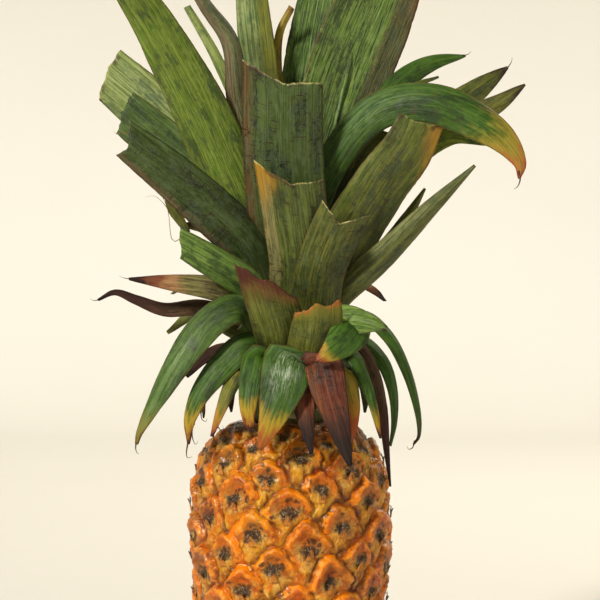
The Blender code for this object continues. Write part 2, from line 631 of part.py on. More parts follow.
def main():
    """Builds the fruit and the crown in one collection."""
    clean_scene()
    home = collection_named("pineapple")
    skin = FruitSkin()
    fruit = build_fruit(skin, home)
    crown = build_crown(skin, home)
    finishes = (
        (fruit, "fruit_skin", (0.62, 0.20, 0.03), 0.38),
        (crown, "crown_leaf", (0.10, 0.17, 0.05), 0.50),
    )
    for thing, name, colour, roughness in finishes:
        thing.data.materials.clear()
        thing.data.materials.append(material_named(name, colour, roughness))
        shade_smooth(thing, 50.0)


main()
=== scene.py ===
import logging
import math
from collections.abc import Iterable
from dataclasses import dataclass, field, replace
from enum import Enum

import bpy
import numpy as np
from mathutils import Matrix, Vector, noise


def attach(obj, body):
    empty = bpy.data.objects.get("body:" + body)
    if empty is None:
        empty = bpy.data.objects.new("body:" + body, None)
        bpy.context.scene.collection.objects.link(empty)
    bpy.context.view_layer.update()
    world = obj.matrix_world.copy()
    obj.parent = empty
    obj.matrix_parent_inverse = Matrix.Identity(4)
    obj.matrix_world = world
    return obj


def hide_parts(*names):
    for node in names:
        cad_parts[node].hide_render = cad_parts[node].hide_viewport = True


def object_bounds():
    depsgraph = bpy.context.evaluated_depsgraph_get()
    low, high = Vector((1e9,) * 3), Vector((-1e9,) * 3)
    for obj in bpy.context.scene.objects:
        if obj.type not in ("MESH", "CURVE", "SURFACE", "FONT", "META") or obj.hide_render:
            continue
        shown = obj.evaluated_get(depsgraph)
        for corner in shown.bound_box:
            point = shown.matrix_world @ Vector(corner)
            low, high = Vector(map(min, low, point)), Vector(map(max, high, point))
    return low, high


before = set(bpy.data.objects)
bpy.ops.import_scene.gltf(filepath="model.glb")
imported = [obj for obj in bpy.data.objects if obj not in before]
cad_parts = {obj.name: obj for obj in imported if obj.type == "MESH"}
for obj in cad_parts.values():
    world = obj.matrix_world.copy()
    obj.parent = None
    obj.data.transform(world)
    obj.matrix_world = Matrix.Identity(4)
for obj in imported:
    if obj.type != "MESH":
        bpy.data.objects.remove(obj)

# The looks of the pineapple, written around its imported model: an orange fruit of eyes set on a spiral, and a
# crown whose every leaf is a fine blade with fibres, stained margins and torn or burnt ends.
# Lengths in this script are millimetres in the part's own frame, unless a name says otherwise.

START_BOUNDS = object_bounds()
MM = 0.001
UP = np.array((0.0, 0.0, 1.0))
VIEW_DISTANCE = 1000.0
VIEW_CENTRE = (5.0, 213.0)
CUT_OFF = 0.5  # a leaf whose end is wider than this share of its widest is cut or torn off
Colour = tuple[float, float, float, float]
Point = tuple[float, float, float]
log = logging.getLogger("pineapple")


def rgb(red: int, green: int, blue: int) -> Colour:
    """A colour from screen values of 0 to 255.

    Args:
        red: the red value.
        green: the green value.
        blue: the blue value.

    Returns:
        The same colour in linear light, with full alpha.
    """
    def linear(value: float) -> float:
        """One screen value in linear light."""
        value /= 255
        return value / 12.92 if value <= 0.04045 else ((value + 0.055) / 1.055) ** 2.4
    return linear(red), linear(green), linear(blue), 1.0


class Value:
    """A node's output that adds, multiplies and compares like a number."""

    def __init__(self, shader: "Shader", socket: bpy.types.NodeSocket) -> None:
        """One output of a node in a shader."""
        self.shader = shader
        self.socket = socket

    def __add__(self, other: "Number") -> "Value":
        """The sum."""
        return self.shader.math("ADD", self, other)

    __radd__ = __add__

    def __sub__(self, other: "Number") -> "Value":
        """The difference."""
        return self.shader.math("SUBTRACT", self, other)

    def __rsub__(self, other: "Number") -> "Value":
        """The difference from a plain number."""
        return self.shader.math("SUBTRACT", other, self)

    def __mul__(self, other: "Number") -> "Value":
        """The product."""
        return self.shader.math("MULTIPLY", self, other)

    __rmul__ = __mul__

    def __truediv__(self, other: "Number") -> "Value":
        """The quotient."""
        return self.shader.math("DIVIDE", self, other)

    def __pow__(self, other: "Number") -> "Value":
        """The power."""
        return self.shader.math("POWER", self, other)

    def __abs__(self) -> "Value":
        """The size without its sign."""
        return self.shader.math("ABSOLUTE", self)

    def most(self, other: "Number") -> "Value":
        """The larger of two."""
        return self.shader.math("MAXIMUM", self, other)

    def least(self, other: "Number") -> "Value":
        """The smaller of two."""
        return self.shader.math("MINIMUM", self, other)

    def step(self, low: float, high: float) -> "Value":
        """A smooth rise from 0 at low to 1 at high.

        Args:
            low: where the rise starts.
            high: where it ends; below low, the result falls.

        Returns:
            The risen value, between 0 and 1.
        """
        if low > high:
            return 1.0 - self.step(high, low)
        settings = {"interpolation_type": "SMOOTHSTEP"}
        return self.shader.node("ShaderNodeMapRange", settings, {"Value": self, "From Min": low, "From Max": high})

    def parts(self) -> tuple["Value", "Value", "Value"]:
        """The three numbers of a vector."""
        made = self.shader.node("ShaderNodeSeparateXYZ", {}, {"Vector": self})
        return tuple(Value(self.shader, out) for out in made.socket.node.outputs)


Number = Value | float


class Shader:
    """A Principled material whose sockets are written as expressions."""

    def __init__(self, name: str, **constants: float | Colour) -> None:
        """A new material.

        Args:
            name: the material's name.
            constants: values for the shader's own sockets, with _ for a space.
        """
        self.material = bpy.data.materials.new(name)
        self.material.use_nodes = True
        self.tree = self.material.node_tree
        self.surface = next(n for n in self.tree.nodes if n.type == "BSDF_PRINCIPLED")
        for key, value in constants.items():
            self.surface.inputs[key.replace("_", " ")].default_value = value

    def node(self, kind: str, settings: dict, inputs: dict, output: int | str = 0) -> Value:
        """Adds a node.

        Args:
            kind: the node's type.
            settings: its own properties.
            inputs: its sockets, by name or number, with a Value or a plain value.
            output: which output to return.

        Returns:
            The chosen output.
        """
        made = self.tree.nodes.new(kind)
        for key, value in settings.items():
            setattr(made, key, value)
        for key, value in inputs.items():
            self.feed(made.inputs[key], value)
        return Value(self, made.outputs[output])

    def feed(self, socket: bpy.types.NodeSocket, value: object) -> None:
        """Links a Value to a socket, or sets the socket to a plain value.

        Args:
            socket: the socket.
            value: what it gets.
        """
        if isinstance(value, Value):
            self.tree.links.new(value.socket, socket)
        else:
            socket.default_value = value

    def math(self, operation: str, first: Number, second: Number = 0.0) -> Value:
        """One Math node."""
        return self.node("ShaderNodeMath", {"operation": operation}, {0: first, 1: second})

    def mix(self, first: Value | Colour, second: Value | Colour, share: Number) -> Value:
        """Two colours mixed.

        Args:
            first: the colour at share 0.
            second: the colour at share 1.
            share: how much of the second.

        Returns:
            The mixed colour.
        """
        return self.node("ShaderNodeMix", {"data_type": "RGBA"}, {0: share, 6: first, 7: second}, 2)

    def layers(self, colour: Value | Colour, *coats: tuple[Value | Colour, Number]) -> Value:
        """Coats of colour laid over a first one in order.

        Args:
            colour: the first colour.
            coats: the colour of each coat and how much it covers.

        Returns:
            The colour that shows.
        """
        for coat, share in coats:
            colour = self.mix(colour, coat, share)
        return colour

    def attribute(self, name: str) -> Value:
        """A vector stored on the mesh."""
        return self.node("ShaderNodeAttribute", {"attribute_name": name}, {}, "Vector")

    def join(self, x: Number, y: Number, z: Number) -> Value:
        """A vector from three numbers."""
        return self.node("ShaderNodeCombineXYZ", {}, {0: x, 1: y, 2: z})

    def noise(self, vector: Value, scale: float, detail: float = 3.0, roughness: float = 0.55) -> Value:
        """Cloudy noise about 0.5.

        Args:
            vector: the place it is read at.
            scale: how fine it is.
            detail: how many layers it has.
            roughness: how strong the fine layers are.

        Returns:
            The noise.
        """
        inputs = {"Vector": vector, "Scale": scale, "Detail": detail, "Roughness": roughness}
        return self.node("ShaderNodeTexNoise", {}, inputs)

    def dress(self, colour: Value, roughness: Number, relief: Value | None, depth: float) -> bpy.types.Material:
        """Feeds the surface.

        Args:
            colour: the base colour.
            roughness: the roughness.
            relief: a height that tilts the normal, if any.
            depth: how deep that relief is, in metres.

        Returns:
            The finished material.
        """
        self.feed(self.surface.inputs["Base Color"], colour)
        self.feed(self.surface.inputs["Roughness"], roughness)
        if relief is not None:
            inputs = {"Height": relief, "Strength": 1.0, "Distance": depth}
            self.feed(self.surface.inputs["Normal"], self.node("ShaderNodeBump", {}, inputs))
        return self.material


class Node(Enum):
    """The nodes that pieces stand for, each with its finish slot."""

    FRUIT = ("fruit", "fruit_skin")
    CROWN = ("crown", "crown_leaf")


@dataclass
class Shape:
    """The points, faces and stored vectors of one piece while it grows."""

    points: list[np.ndarray] = field(default_factory=list)
    faces: list[tuple[int, ...]] = field(default_factory=list)
    stored: dict[str, list[Point]] = field(default_factory=dict)

    def add(self, points: Iterable[np.ndarray], faces: Iterable[Iterable[int]], **stored: Iterable[Point]) -> None:
        """Adds a closed part.

        Args:
            points: its points in millimetres.
            faces: its faces, as numbers counted from its own first point.
            stored: the vectors stored at its points, by name.
        """
        start = len(self.points)
        self.points.extend(points)
        self.faces.extend(tuple(start + i for i in face) for face in faces)
        for name, vectors in stored.items():
            self.stored.setdefault(name, []).extend(vectors)

    def piece(self, name: str, material: bpy.types.Material) -> bpy.types.Object:
        """Makes the piece.

        Args:
            name: the piece's name.
            material: its material.

        Returns:
            The new object, smooth shaded.
        """
        mesh = bpy.data.meshes.new(name)
        mesh.from_pydata((np.array(self.points) * MM).tolist(), [], self.faces)
        for key, vectors in self.stored.items():
            values = np.array(vectors, np.float32).ravel()
            mesh.attributes.new(key, "FLOAT_VECTOR", "POINT").data.foreach_set("vector", values)
        mesh.materials.append(material)
        mesh.shade_smooth()
        mesh.update()
        made = bpy.data.objects.new(name, mesh)
        bpy.context.scene.collection.objects.link(made)
        return made

    def settle(self, name: str, material: bpy.types.Material, stands_for: Node) -> None:
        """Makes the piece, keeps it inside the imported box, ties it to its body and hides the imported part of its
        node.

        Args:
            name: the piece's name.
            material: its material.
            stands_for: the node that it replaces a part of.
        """
        piece = self.piece(name, material)
        vertices = piece.data.vertices
        places = np.empty(3 * len(vertices))
        vertices.foreach_get("co", places)
        vertices.foreach_set("co", np.clip(places.reshape(-1, 3), *START_BOUNDS).ravel())
        piece.data.update()
        node, slot = stands_for.value
        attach(piece, "root")
        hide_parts(node)
        log.info("%s: %d faces, for node %s", piece.name, len(piece.data.polygons), node)


def loop_quads(loops: int, around: int) -> list[list[int]]:
    """The quads between closed loops of points that follow each other.

    Args:
        loops: how many loops there are.
        around: how many points each loop has.

    Returns:
        The quads, loop by loop.
    """
    start = (np.arange(loops - 1) * around)[:, None]
    here = np.arange(around)[None, :]
    beside = (here + 1) % around
    corners = [start + here, start + around + here, start + around + beside, start + beside]
    return np.stack(corners, axis=2).reshape(-1, 4).tolist()


def turned(rings: np.ndarray, columns: int) -> tuple[np.ndarray, list[list[int]]]:
    """A closed turned body.

    Args:
        rings: the radius and the height of each ring, from the top of the axis to its bottom.
        columns: how many points each ring has.

    Returns:
        Its points and its faces.
    """
    turn = np.linspace(0.0, 2 * math.pi, columns, endpoint=False)
    points = np.stack([np.outer(rings[:, 0], np.cos(turn)), np.outer(rings[:, 0], np.sin(turn)),
                       np.repeat(rings[:, 1:2], columns, axis=1)], axis=2).reshape(-1, 3)
    last = (len(rings) - 1) * columns
    caps = [list(range(columns)), list(range(last + columns - 1, last - 1, -1))]
    return points, loop_quads(len(rings), columns) + caps


def tube(centres: Iterable[np.ndarray], axes: list[tuple[np.ndarray, np.ndarray]], radii: list[float],
         sides: int) -> tuple[list[np.ndarray], list[tuple[int, ...]]]:
    """A closed tube along a line.

    Args:
        centres: the middle of each ring.
        axes: the two directions that each ring is drawn in.
        radii: the radius of each ring.
        sides: how many sides the tube has.

    Returns:
        Its points and its faces.
    """
    points, faces = [], []
    for centre, (side, normal), radius in zip(centres, axes, radii):
        for k in range(sides):
            turn = 2 * math.pi * k / sides
            points.append(centre + (side * math.cos(turn) + normal * math.sin(turn)) * radius)
    last = len(points) - sides
    for start in range(0, last, sides):
        for k in range(sides):
            a, b = start + k, start + (k + 1) % sides
            faces.append((a, b, b + sides, a + sides))
    return points, [*faces, tuple(reversed(range(sides))), tuple(range(last, last + sides))]


def outward_at(azimuth_deg: float) -> np.ndarray:
    """The level direction away from the axis at an azimuth."""
    azimuth = math.radians(azimuth_deg)
    return np.array((math.cos(azimuth), math.sin(azimuth), 0.0))


def axes_along(centres: np.ndarray, toward: Iterable[float]) -> list[tuple[np.ndarray, np.ndarray, np.ndarray]]:
    """The directions along a line, across it and out of it.

    Args:
        centres: the line's points.
        toward: the direction that its face looks in.

    Returns:
        The three unit vectors at each point.
    """
    tangents = np.gradient(centres, axis=0)
    tangents /= np.linalg.norm(tangents, axis=1)[:, None]
    axes = []
    for along in tangents:
        side = np.cross(along, toward)
        side /= np.linalg.norm(side)
        axes.append((along, side, np.cross(side, along)))
    return axes


def spline(points: np.ndarray, steps: int = 24) -> np.ndarray:
    """A Catmull-Rom curve through points.

    Args:
        points: the points, one row each.
        steps: how many pieces each span is cut into.

    Returns:
        The curve's points, one row each.
    """
    ends = np.vstack([2 * points[0] - points[1], points, 2 * points[-1] - points[-2]])
    t = (np.arange(steps) / steps)[:, None]
    spans = [0.5 * (2 * b + (c - a) * t + (2 * a - 5 * b + 4 * c - d) * t ** 2 + (3 * b - a - 3 * c + d) * t ** 3)
             for a, b, c, d in zip(ends, ends[1:], ends[2:], ends[3:])]
    return np.vstack([*spans, points[-1:]])


def even(curve: np.ndarray, count: int) -> tuple[np.ndarray, float]:
    """Points spaced evenly along a curve.

    Args:
        curve: the curve's points.
        count: how many spans to cut it into.

    Returns:
        The points and the curve's length.
    """
    along = np.concatenate([[0.0], np.cumsum(np.linalg.norm(np.diff(curve, axis=0), axis=1))])
    wanted = np.linspace(0.0, along[-1], count + 1)
    return np.stack([np.interp(wanted, along, c) for c in curve.T], axis=1), float(along[-1])


def bell(distance: np.ndarray, width: float | np.ndarray) -> np.ndarray:
    """A smooth bump that is 1 at distance 0 and fades over a width."""
    return np.exp(-(distance / width) ** 2)


@dataclass
class FruitForm:
    """The fruit's outline and the lattice of its eyes."""

    profile: tuple[tuple[float, float], ...] = (
        (28.0, 150.0), (36.0, 146.0), (44.0, 138.0), (49.0, 128.0), (51.5, 115.0), (52.5, 95.0),
        (52.0, 80.0), (50.0, 58.0), (46.5, 35.0), (40.0, 15.0), (34.0, 4.5), (29.0, 0.0),
    )
    top: float = 150.0
    widest: float = 52.5
    golden_deg: float = 137.508
    zero_azimuth_deg: float = -91.1
    zero_height: float = 107.9
    rise: float = 1.354
    pitch: float = 21.0
    shrink: float = 0.6
    arch: float = 0.60
    sink: float = 2.9
    dome: float = 1.8
    hood: float = 2.1
    pit: float = 1.3
    bract: float = 0.8
    fade: float = 5.0
    sway: float = 2.6
    neighbours: int = 30
    eye_hash: float = 12.9898
    slope_width: float = 0.34
    crest_at: float = 0.76
    crest_inner: float = 0.22
    crest_outer: float = 0.15
    pit_width: float = 0.17
    bract_low: float = 0.30
    bract_width: float = 0.10
    bract_tall: float = 0.16
    table_rows: int = 400
    table: np.ndarray = field(init=False)

    def __post_init__(self) -> None:
        """Tabulates radius, height and eye count along the outline."""
        curve, _ = even(spline(np.array(self.profile)), self.table_rows)
        curve = curve[::-1]
        step = np.hypot(np.gradient(curve[:, 0]), np.gradient(curve[:, 1]))
        count = np.cumsum(step / (self.rise * (curve[:, 0] / self.widest) ** self.shrink))
        count -= np.interp(self.zero_height, curve[:, 1], count)
        self.table = np.column_stack([curve, count])

    def radius(self, z: np.ndarray | float) -> np.ndarray:
        """The outline's radius at a height."""
        return np.interp(z, self.table[:, 1], self.table[:, 0])

    def count(self, z: np.ndarray | float) -> np.ndarray:
        """How many eyes lie below a height, from eye zero."""
        return np.interp(z, self.table[:, 1], self.table[:, 2])

    def size(self, z: np.ndarray | float) -> np.ndarray:
        """How large the eyes are at a height, as a share of the largest."""
        return (self.radius(z) / self.widest) ** self.shrink

    def eyes(self, low: float, high: float) -> range:
        """The numbers of the eyes between two heights."""
        return range(round(float(self.count(low))), round(float(self.count(high))) + 1)

    def eye(self, n: int) -> tuple[float, float, np.ndarray, np.ndarray]:
        """Where an eye sits.

        Args:
            n: the eye's number.

        Returns:
            Its height, its size as a share of the largest, and the directions outward and sideways there.
        """
        height = float(np.interp(n, self.table[:, 2], self.table[:, 1]))
        outward = outward_at(self.zero_azimuth_deg + self.golden_deg * n)
        return height, float(self.size(height)), outward, np.cross(UP, outward)

    def swayed(self, points: np.ndarray) -> np.ndarray:
        """Small shifts that keep the lattice from looking ruled.

        Args:
            points: the points, one row each.

        Returns:
            The shift sideways and upward at each point.
        """
        shifts = []
        for point in points:
            wide, fine = Vector(point) * 0.07, Vector(point) * 0.24
            sideways = noise.noise(wide) + 0.45 * noise.noise(fine)
            upward = noise.noise(wide + Vector((9.0, 4.0, 7.0))) + 0.45 * noise.noise(fine + Vector((3.0, 8.0, 1.0)))
            shifts.append((sideways, upward))
        return np.array(shifts) * self.sway

    def local(self, points: np.ndarray) -> dict[str, np.ndarray]:
        """Each point's place in the eye that it belongs to.

        The round arch over each eye laps over the eyes above it, so a point belongs to the lowest eye whose arch
        covers it, and otherwise to the nearest eye, mostly the one above.

        Args:
            points: the points, one row each.

        Returns:
            right and up, the place in the eye in eye pitches; reach, the distance from its middle as a share of
            its arch; seam, the distance from the crease with the next eye; and eye, the eye's number.
        """
        sway = self.swayed(points)
        radius = self.radius(points[:, 2])
        azimuth = np.arctan2(points[:, 1], points[:, 0]) + sway[:, 0] / np.maximum(radius, 1.0)
        size = self.size(points[:, 2]) * self.pitch
        rise = self.rise * self.size(points[:, 2])
        index = self.count(points[:, 2]) + sway[:, 1] / rise
        near = np.arange(-self.neighbours, self.neighbours + 1)[:, None]
        numbers = np.floor(index)[None, :] + near
        turn = azimuth - np.radians(self.zero_azimuth_deg + self.golden_deg * numbers)
        turn = (turn + math.pi) % (2 * math.pi) - math.pi
        right = radius * turn / size
        up = (index - numbers) * rise / size
        ring = np.maximum((np.abs(right) ** 1.5 + np.abs(up) ** 1.5) ** (2 / 3), 1e-6)
        arch = self.arch * (0.90 + 0.22 * self.lump(numbers))
        droop = np.clip(-up / ring, 0.0, 1.0)
        cover = ring / (arch * (1.0 - 0.8 * droop))
        hang = np.hypot(right, up * np.where(up < 0.0, 0.85, 1.6))
        covered = (cover < 1.0).any(axis=0)
        owner = np.where(covered, np.argmax(cover < 1.0, axis=0), np.argmin(hang, axis=0))
        here = np.arange(len(points))
        lower = np.arange(len(near))[:, None] < owner[None, :]
        beside = np.where(lower, (cover - 1.0) * arch, 9.0).min(axis=0)
        own = (1.0 - cover[owner, here]) * arch[owner, here] + 0.6 * np.clip(droop[owner, here] - 0.2, 0.0, 1.0)
        order = np.sort(hang, axis=0)
        seam = np.minimum(beside, np.where(covered, own, (order[1] - order[0]) / 1.6))
        return {"right": right[owner, here], "up": up[owner, here], "reach": ring[owner, here] / arch[owner, here],
                "seam": np.clip(seam, 0.0, 1.0), "eye": numbers[owner, here]}

    def lump(self, numbers: np.ndarray) -> np.ndarray:
        """A number from 0 to 1 that differs from eye to eye."""
        return np.sin(numbers * self.eye_hash) * 0.5 + 0.5

    def relief(self, points: np.ndarray, site: dict[str, np.ndarray]) -> np.ndarray:
        """How far the skin stands out from the sunken outline.

        Args:
            points: the points, one row each.
            site: their places in their eyes.

        Returns:
            The height over the sunken outline at each point.
        """
        right, up, reach, seam = site["right"], site["up"], site["reach"], site["seam"]
        ring = np.hypot(right, up)
        upper = np.clip(0.62 + 0.85 * up / np.maximum(ring, 1e-6), 0.0, 1.0)
        rise = np.clip(seam / self.slope_width, 0.0, 1.0)
        dome = self.dome * rise * (2.0 - rise)
        crest = bell(reach - self.crest_at, np.where(reach < self.crest_at, self.crest_inner, self.crest_outer))
        hood = self.hood * (0.7 + 0.6 * self.lump(site["eye"])) * crest * upper
        pit = self.pit * bell(ring - 0.02, self.pit_width)
        ridge = self.bract * bell(right, self.bract_width) * bell(up + self.bract_low, self.bract_tall)
        heading = np.arctan2(right, 0.15 - up)
        fan = np.clip(-up / 0.3, 0.0, 1.0)
        wrinkle = []
        for point, angle, away, share in zip(points, heading, ring, fan):
            place = Vector(point)
            rough = noise.noise(place * 0.40) + 0.6 * noise.noise(place * 1.1)
            wrinkle.append(0.65 * rough + 0.75 * share * noise.noise((angle * 4.5, away * 3.0, place.z * 0.02)))
        fade = np.clip(np.minimum(points[:, 2], self.top - points[:, 2]) / self.fade, 0.0, 1.0)
        return fade * (dome + hood - pit + ridge - self.sink + np.array(wrinkle))


@dataclass(frozen=True)
class SkinFinish:
    """The fruit's skin: orange hoods, tan bract bases, dark spots and fuzzy middles."""

    orange: Colour = rgb(206, 90, 0)
    # bright: a tone of the hoods, and also the painted highlight on their crests
    bright: Colour = rgb(246, 138, 2)
    # red: a tone of the skin, and also the painted shade under and round the hoods
    red: Colour = rgb(144, 42, 0)
    gold: Colour = rgb(216, 150, 8)
    tan: Colour = rgb(174, 118, 52)
    pale: Colour = rgb(222, 176, 86)
    olive: Colour = rgb(112, 92, 22)
    spot: Colour = rgb(54, 20, 10)
    fuzz: Colour = rgb(40, 28, 24)
    grey: Colour = rgb(150, 132, 104)
    # seam: dark brown for streaks in the fans, and also the painted shade in the creases
    seam: Colour = rgb(84, 34, 10)
    bruise: Colour = rgb(84, 44, 30)
    wood: Colour = rgb(196, 178, 120)
    spots: tuple[tuple[float, float, float], ...] = (
        (-0.26, 0.12, 0.055), (0.00, 0.27, 0.05), (0.26, 0.02, 0.065), (0.14, 0.20, 0.04),
        (-0.12, 0.24, 0.035), (-0.30, -0.08, 0.045),
    )

    def material(self) -> bpy.types.Material:
        """Writes the material.

        Returns:
            The finished material.
        """
        s = Shader("fruit_skin", Specular_IOR_Level=0.5, Specular_Tint=rgb(255, 226, 184), Coat_Weight=0.18,
                   Coat_Roughness=0.16)
        place = s.node("ShaderNodeTexCoord", {}, {}, "Object")
        right, up, seam = s.attribute("eye").parts()
        lump, reach, _ = s.attribute("eye_kind").parts()
        height, cut, _ = s.attribute("site").parts()
        broad = s.noise(place, 34, 3)
        patchy = s.noise(place, 62, 4, 0.6)
        coarse = s.noise(place, 120, 4, 0.62)
        other = s.noise(place, 123.5, 4, 0.6)
        mid = s.noise(place, 300, 4, 0.65)
        fine = s.noise(place, 900, 3, 0.7)
        right = right + (coarse - 0.5) * 0.24 + (mid - 0.5) * 0.10
        up = up + (other - 0.5) * 0.24 + (mid - 0.5) * 0.08
        reach = reach + (coarse - 0.5) * 0.55 + (mid - 0.5) * 0.30
        ring = (right * right + up * up) ** 0.5
        upper = (up / ring.most(0.02)).step(-0.75, 0.05)
        arch = reach.step(0.50, 0.66) * reach.step(1.15, 1.0) * upper
        crest = reach.step(0.64, 0.76) * reach.step(1.0, 0.86) * upper
        fan = s.noise(s.join(right * 4.0 / (0.34 - up).most(0.10), up * 2.0, lump * 9.0), 1.8, 5, 0.65)
        warm = broad * 0.5 + patchy * 0.5
        skin = s.layers(
            self.orange,
            (self.gold, (coarse * 0.4 + warm * 0.6 + height * 0.25).step(0.50, 0.68)),
            (self.pale, fan.step(0.44, 0.58) * patchy.step(0.42, 0.56) * 0.85),
            (self.red, (other * 0.7 + mid * 0.3).step(0.48, 0.68) * 0.7),
            (self.seam, fan.step(0.45, 0.37) * coarse.step(0.42, 0.56) * 0.6))
        above = s.layers(
            self.orange,
            (self.red, (coarse * 0.6 + other * 0.4).step(0.44, 0.62) * 0.8),
            (self.tan, patchy.step(0.47, 0.64) * 0.7))
        below = s.layers(
            self.tan,
            (self.pale, fan.step(0.42, 0.60) * 0.8),
            (self.olive, (coarse * 0.5 + mid * 0.5).step(0.48, 0.64) * 0.5),
            (self.bruise, fan.step(0.50, 0.40) * 0.45),
            (self.orange, other.step(0.50, 0.64) * 0.6))
        flesh = s.mix(above, below, (0.06 - up).step(-0.14, 0.14))
        swell = s.layers(
            self.orange,
            (self.bright, coarse.step(0.38, 0.62)),
            (self.gold, patchy.step(0.48, 0.66) * 0.7),
            (self.red, other.step(0.50, 0.68) * 0.8))
        colour = s.layers(
            skin,
            (flesh, reach.step(0.66, 0.42) * 0.85),
            (swell, arch * 0.95),
            # painted highlight: bright orange and pale colour laid along the crest of each hood
            (self.bright, crest * other.step(0.54, 0.44) * 0.8),
            (self.pale, crest * (coarse * 0.5 + mid * 0.5).step(0.54, 0.64) * 0.5),
            # painted shade: a darker red band on the inner slope below each hood's crest
            (self.red, reach.step(0.46, 0.60) * reach.step(0.76, 0.64) * upper * 0.4))
        for across, high, wide in self.spots:
            far_a = right - across - (lump - 0.5) * 0.26
            far_b = up - high + (lump - 0.5) * 0.20
            far = (far_a * far_a + far_b * far_b) ** 0.5 + (fine - 0.5) * 0.06
            colour = s.mix(colour, self.spot, far.step(wide * 1.6, wide * 0.8) * coarse.step(0.44, 0.54) * 0.85)
        low = up + 0.05
        fluffy = (right * right * 0.7 + low * low * 1.3) ** 0.5 + (fine - 0.5) * 0.16 + (mid - 0.5) * 0.34
        grime = (mid * 0.7 + fine * 0.3).step(0.54, 0.62) * patchy.step(0.44, 0.58)
        crease = seam + (mid - 0.5) * 0.06 + (coarse - 0.5) * 0.14
        glint = crease.step(0.06, 0.10) * crease.step(0.17, 0.12)
        colour = s.layers(
            colour,
            (s.mix(self.fuzz, self.grey, fine.step(0.54, 0.64)), fluffy.step(0.23, 0.12) * 0.9),
            (self.spot, grime * 0.4),
            (self.bruise, (broad * 0.6 + coarse * 0.4).step(0.51, 0.63) * other.step(0.40, 0.60) * 0.6),
            (self.olive, height.step(0.76, 1.0) * coarse.step(0.46, 0.62) * 0.4),
            (self.bruise, height.step(0.92, 1.0) * coarse.step(0.42, 0.62) * 0.6),
            # painted shade: soft dark red round each hood and dark brown down in the creases between the eyes
            (self.red, crease.step(0.26, 0.04) * broad.step(0.40, 0.58) * 0.5),
            (self.seam, crease.step(0.11, 0.0) * other.step(0.42, 0.60) * 0.75),
            (self.pale, glint * fan.step(0.50, 0.58) * 0.6),
            (s.mix(self.wood, self.spot, mid.step(0.45, 0.7) * 0.7), cut))
        rough = 0.36 - 0.19 * arch + 0.4 * fluffy.step(0.24, 0.12) + (mid - 0.5) * 0.25 + cut * 0.2
        relief = coarse * 0.9 + mid * 0.45 + fine * 0.08 + fan * 0.5 * (1.0 - arch)
        return s.dress(colour, rough, relief, 0.0018)


@dataclass
class Fruit:
    """The fruit's body, with its raised eyes and its flat cut base."""

    form: FruitForm
    finish: SkinFinish = field(default_factory=SkinFinish)
    columns: int = 400
    rows: int = 216
    cap_radii: tuple[float, ...] = (0.4, 14.0, 24.0)
    scar_radius: float = 12.0
    groove_width: float = 1.6
    groove_depth: float = 1.6

    def build(self) -> None:
        """Builds the skin as one closed mesh of rings."""
        side, _ = even(spline(np.array(self.form.profile)), self.rows)
        outer = self.scar_radius + self.groove_width
        cap = [(radius, self.form.top) for radius in self.cap_radii]
        base = [(24.0, 0.0), (18.0, 0.0), (outer, 0.0), (outer - self.groove_width / 2, self.groove_depth),
                (self.scar_radius, 0.0), (6.0, 0.0), (0.4, 0.0)]
        rings = np.vstack([cap, side, base])
        points, faces = turned(rings, self.columns)
        site = self.form.local(points)
        slope = np.gradient(rings, axis=0)
        slope /= np.linalg.norm(slope, axis=1)[:, None]
        outward, lift = np.repeat(-slope[:, 1], self.columns), np.repeat(slope[:, 0], self.columns)
        number = np.repeat(np.arange(len(rings)), self.columns)
        height = self.form.relief(points, site)
        height[(number < len(cap)) | (number >= len(rings) - len(base))] = 0.0
        away = points[:, :2] / np.maximum(np.linalg.norm(points[:, :2], axis=1), 1e-6)[:, None]
        points[:, :2] += away * (height * outward)[:, None]
        points[:, 2] = np.clip(points[:, 2] + height * lift, 0.0, self.form.top)
        lump = np.sin(site["eye"] * 78.233) * 0.5 + 0.5
        cut = (np.linalg.norm(points[:, :2], axis=1) < outer) & (points[:, 2] < 2.0)
        spare = np.zeros(len(points))
        shape = Shape()
        shape.add(points, faces, eye=np.column_stack([site["right"], site["up"], site["seam"]]),
                  eye_kind=np.column_stack([lump, site["reach"], spare]),
                  site=np.column_stack([points[:, 2] / self.form.top, cut, spare]))
        shape.settle("fruit_body", self.finish.material(), Node.FRUIT)


@dataclass(frozen=True)
class PaperFinish:
    """Dry papery skin of one colour, streaked lengthwise and darker at its tip."""

    name: str
    pale: Colour
    dark: Colour
    tip: Colour
    roughness: float = 0.75

    def material(self) -> bpy.types.Material:
        """Writes the material.

        Returns:
            The finished material.
        """
        s = Shader(self.name, Specular_IOR_Level=0.35)
        across, along, seed = s.attribute("blade").parts()
        streak = s.noise(s.join(across * 3.0, along * 0.6, seed * 9.0), 2.5, 3)
        colour = s.mix(self.pale, self.dark, streak.step(0.4, 0.65))
        colour = s.mix(colour, self.tip, (along + (streak - 0.5) * 0.5).step(0.62, 0.92))
        return s.dress(colour, self.roughness, streak, 0.0002)


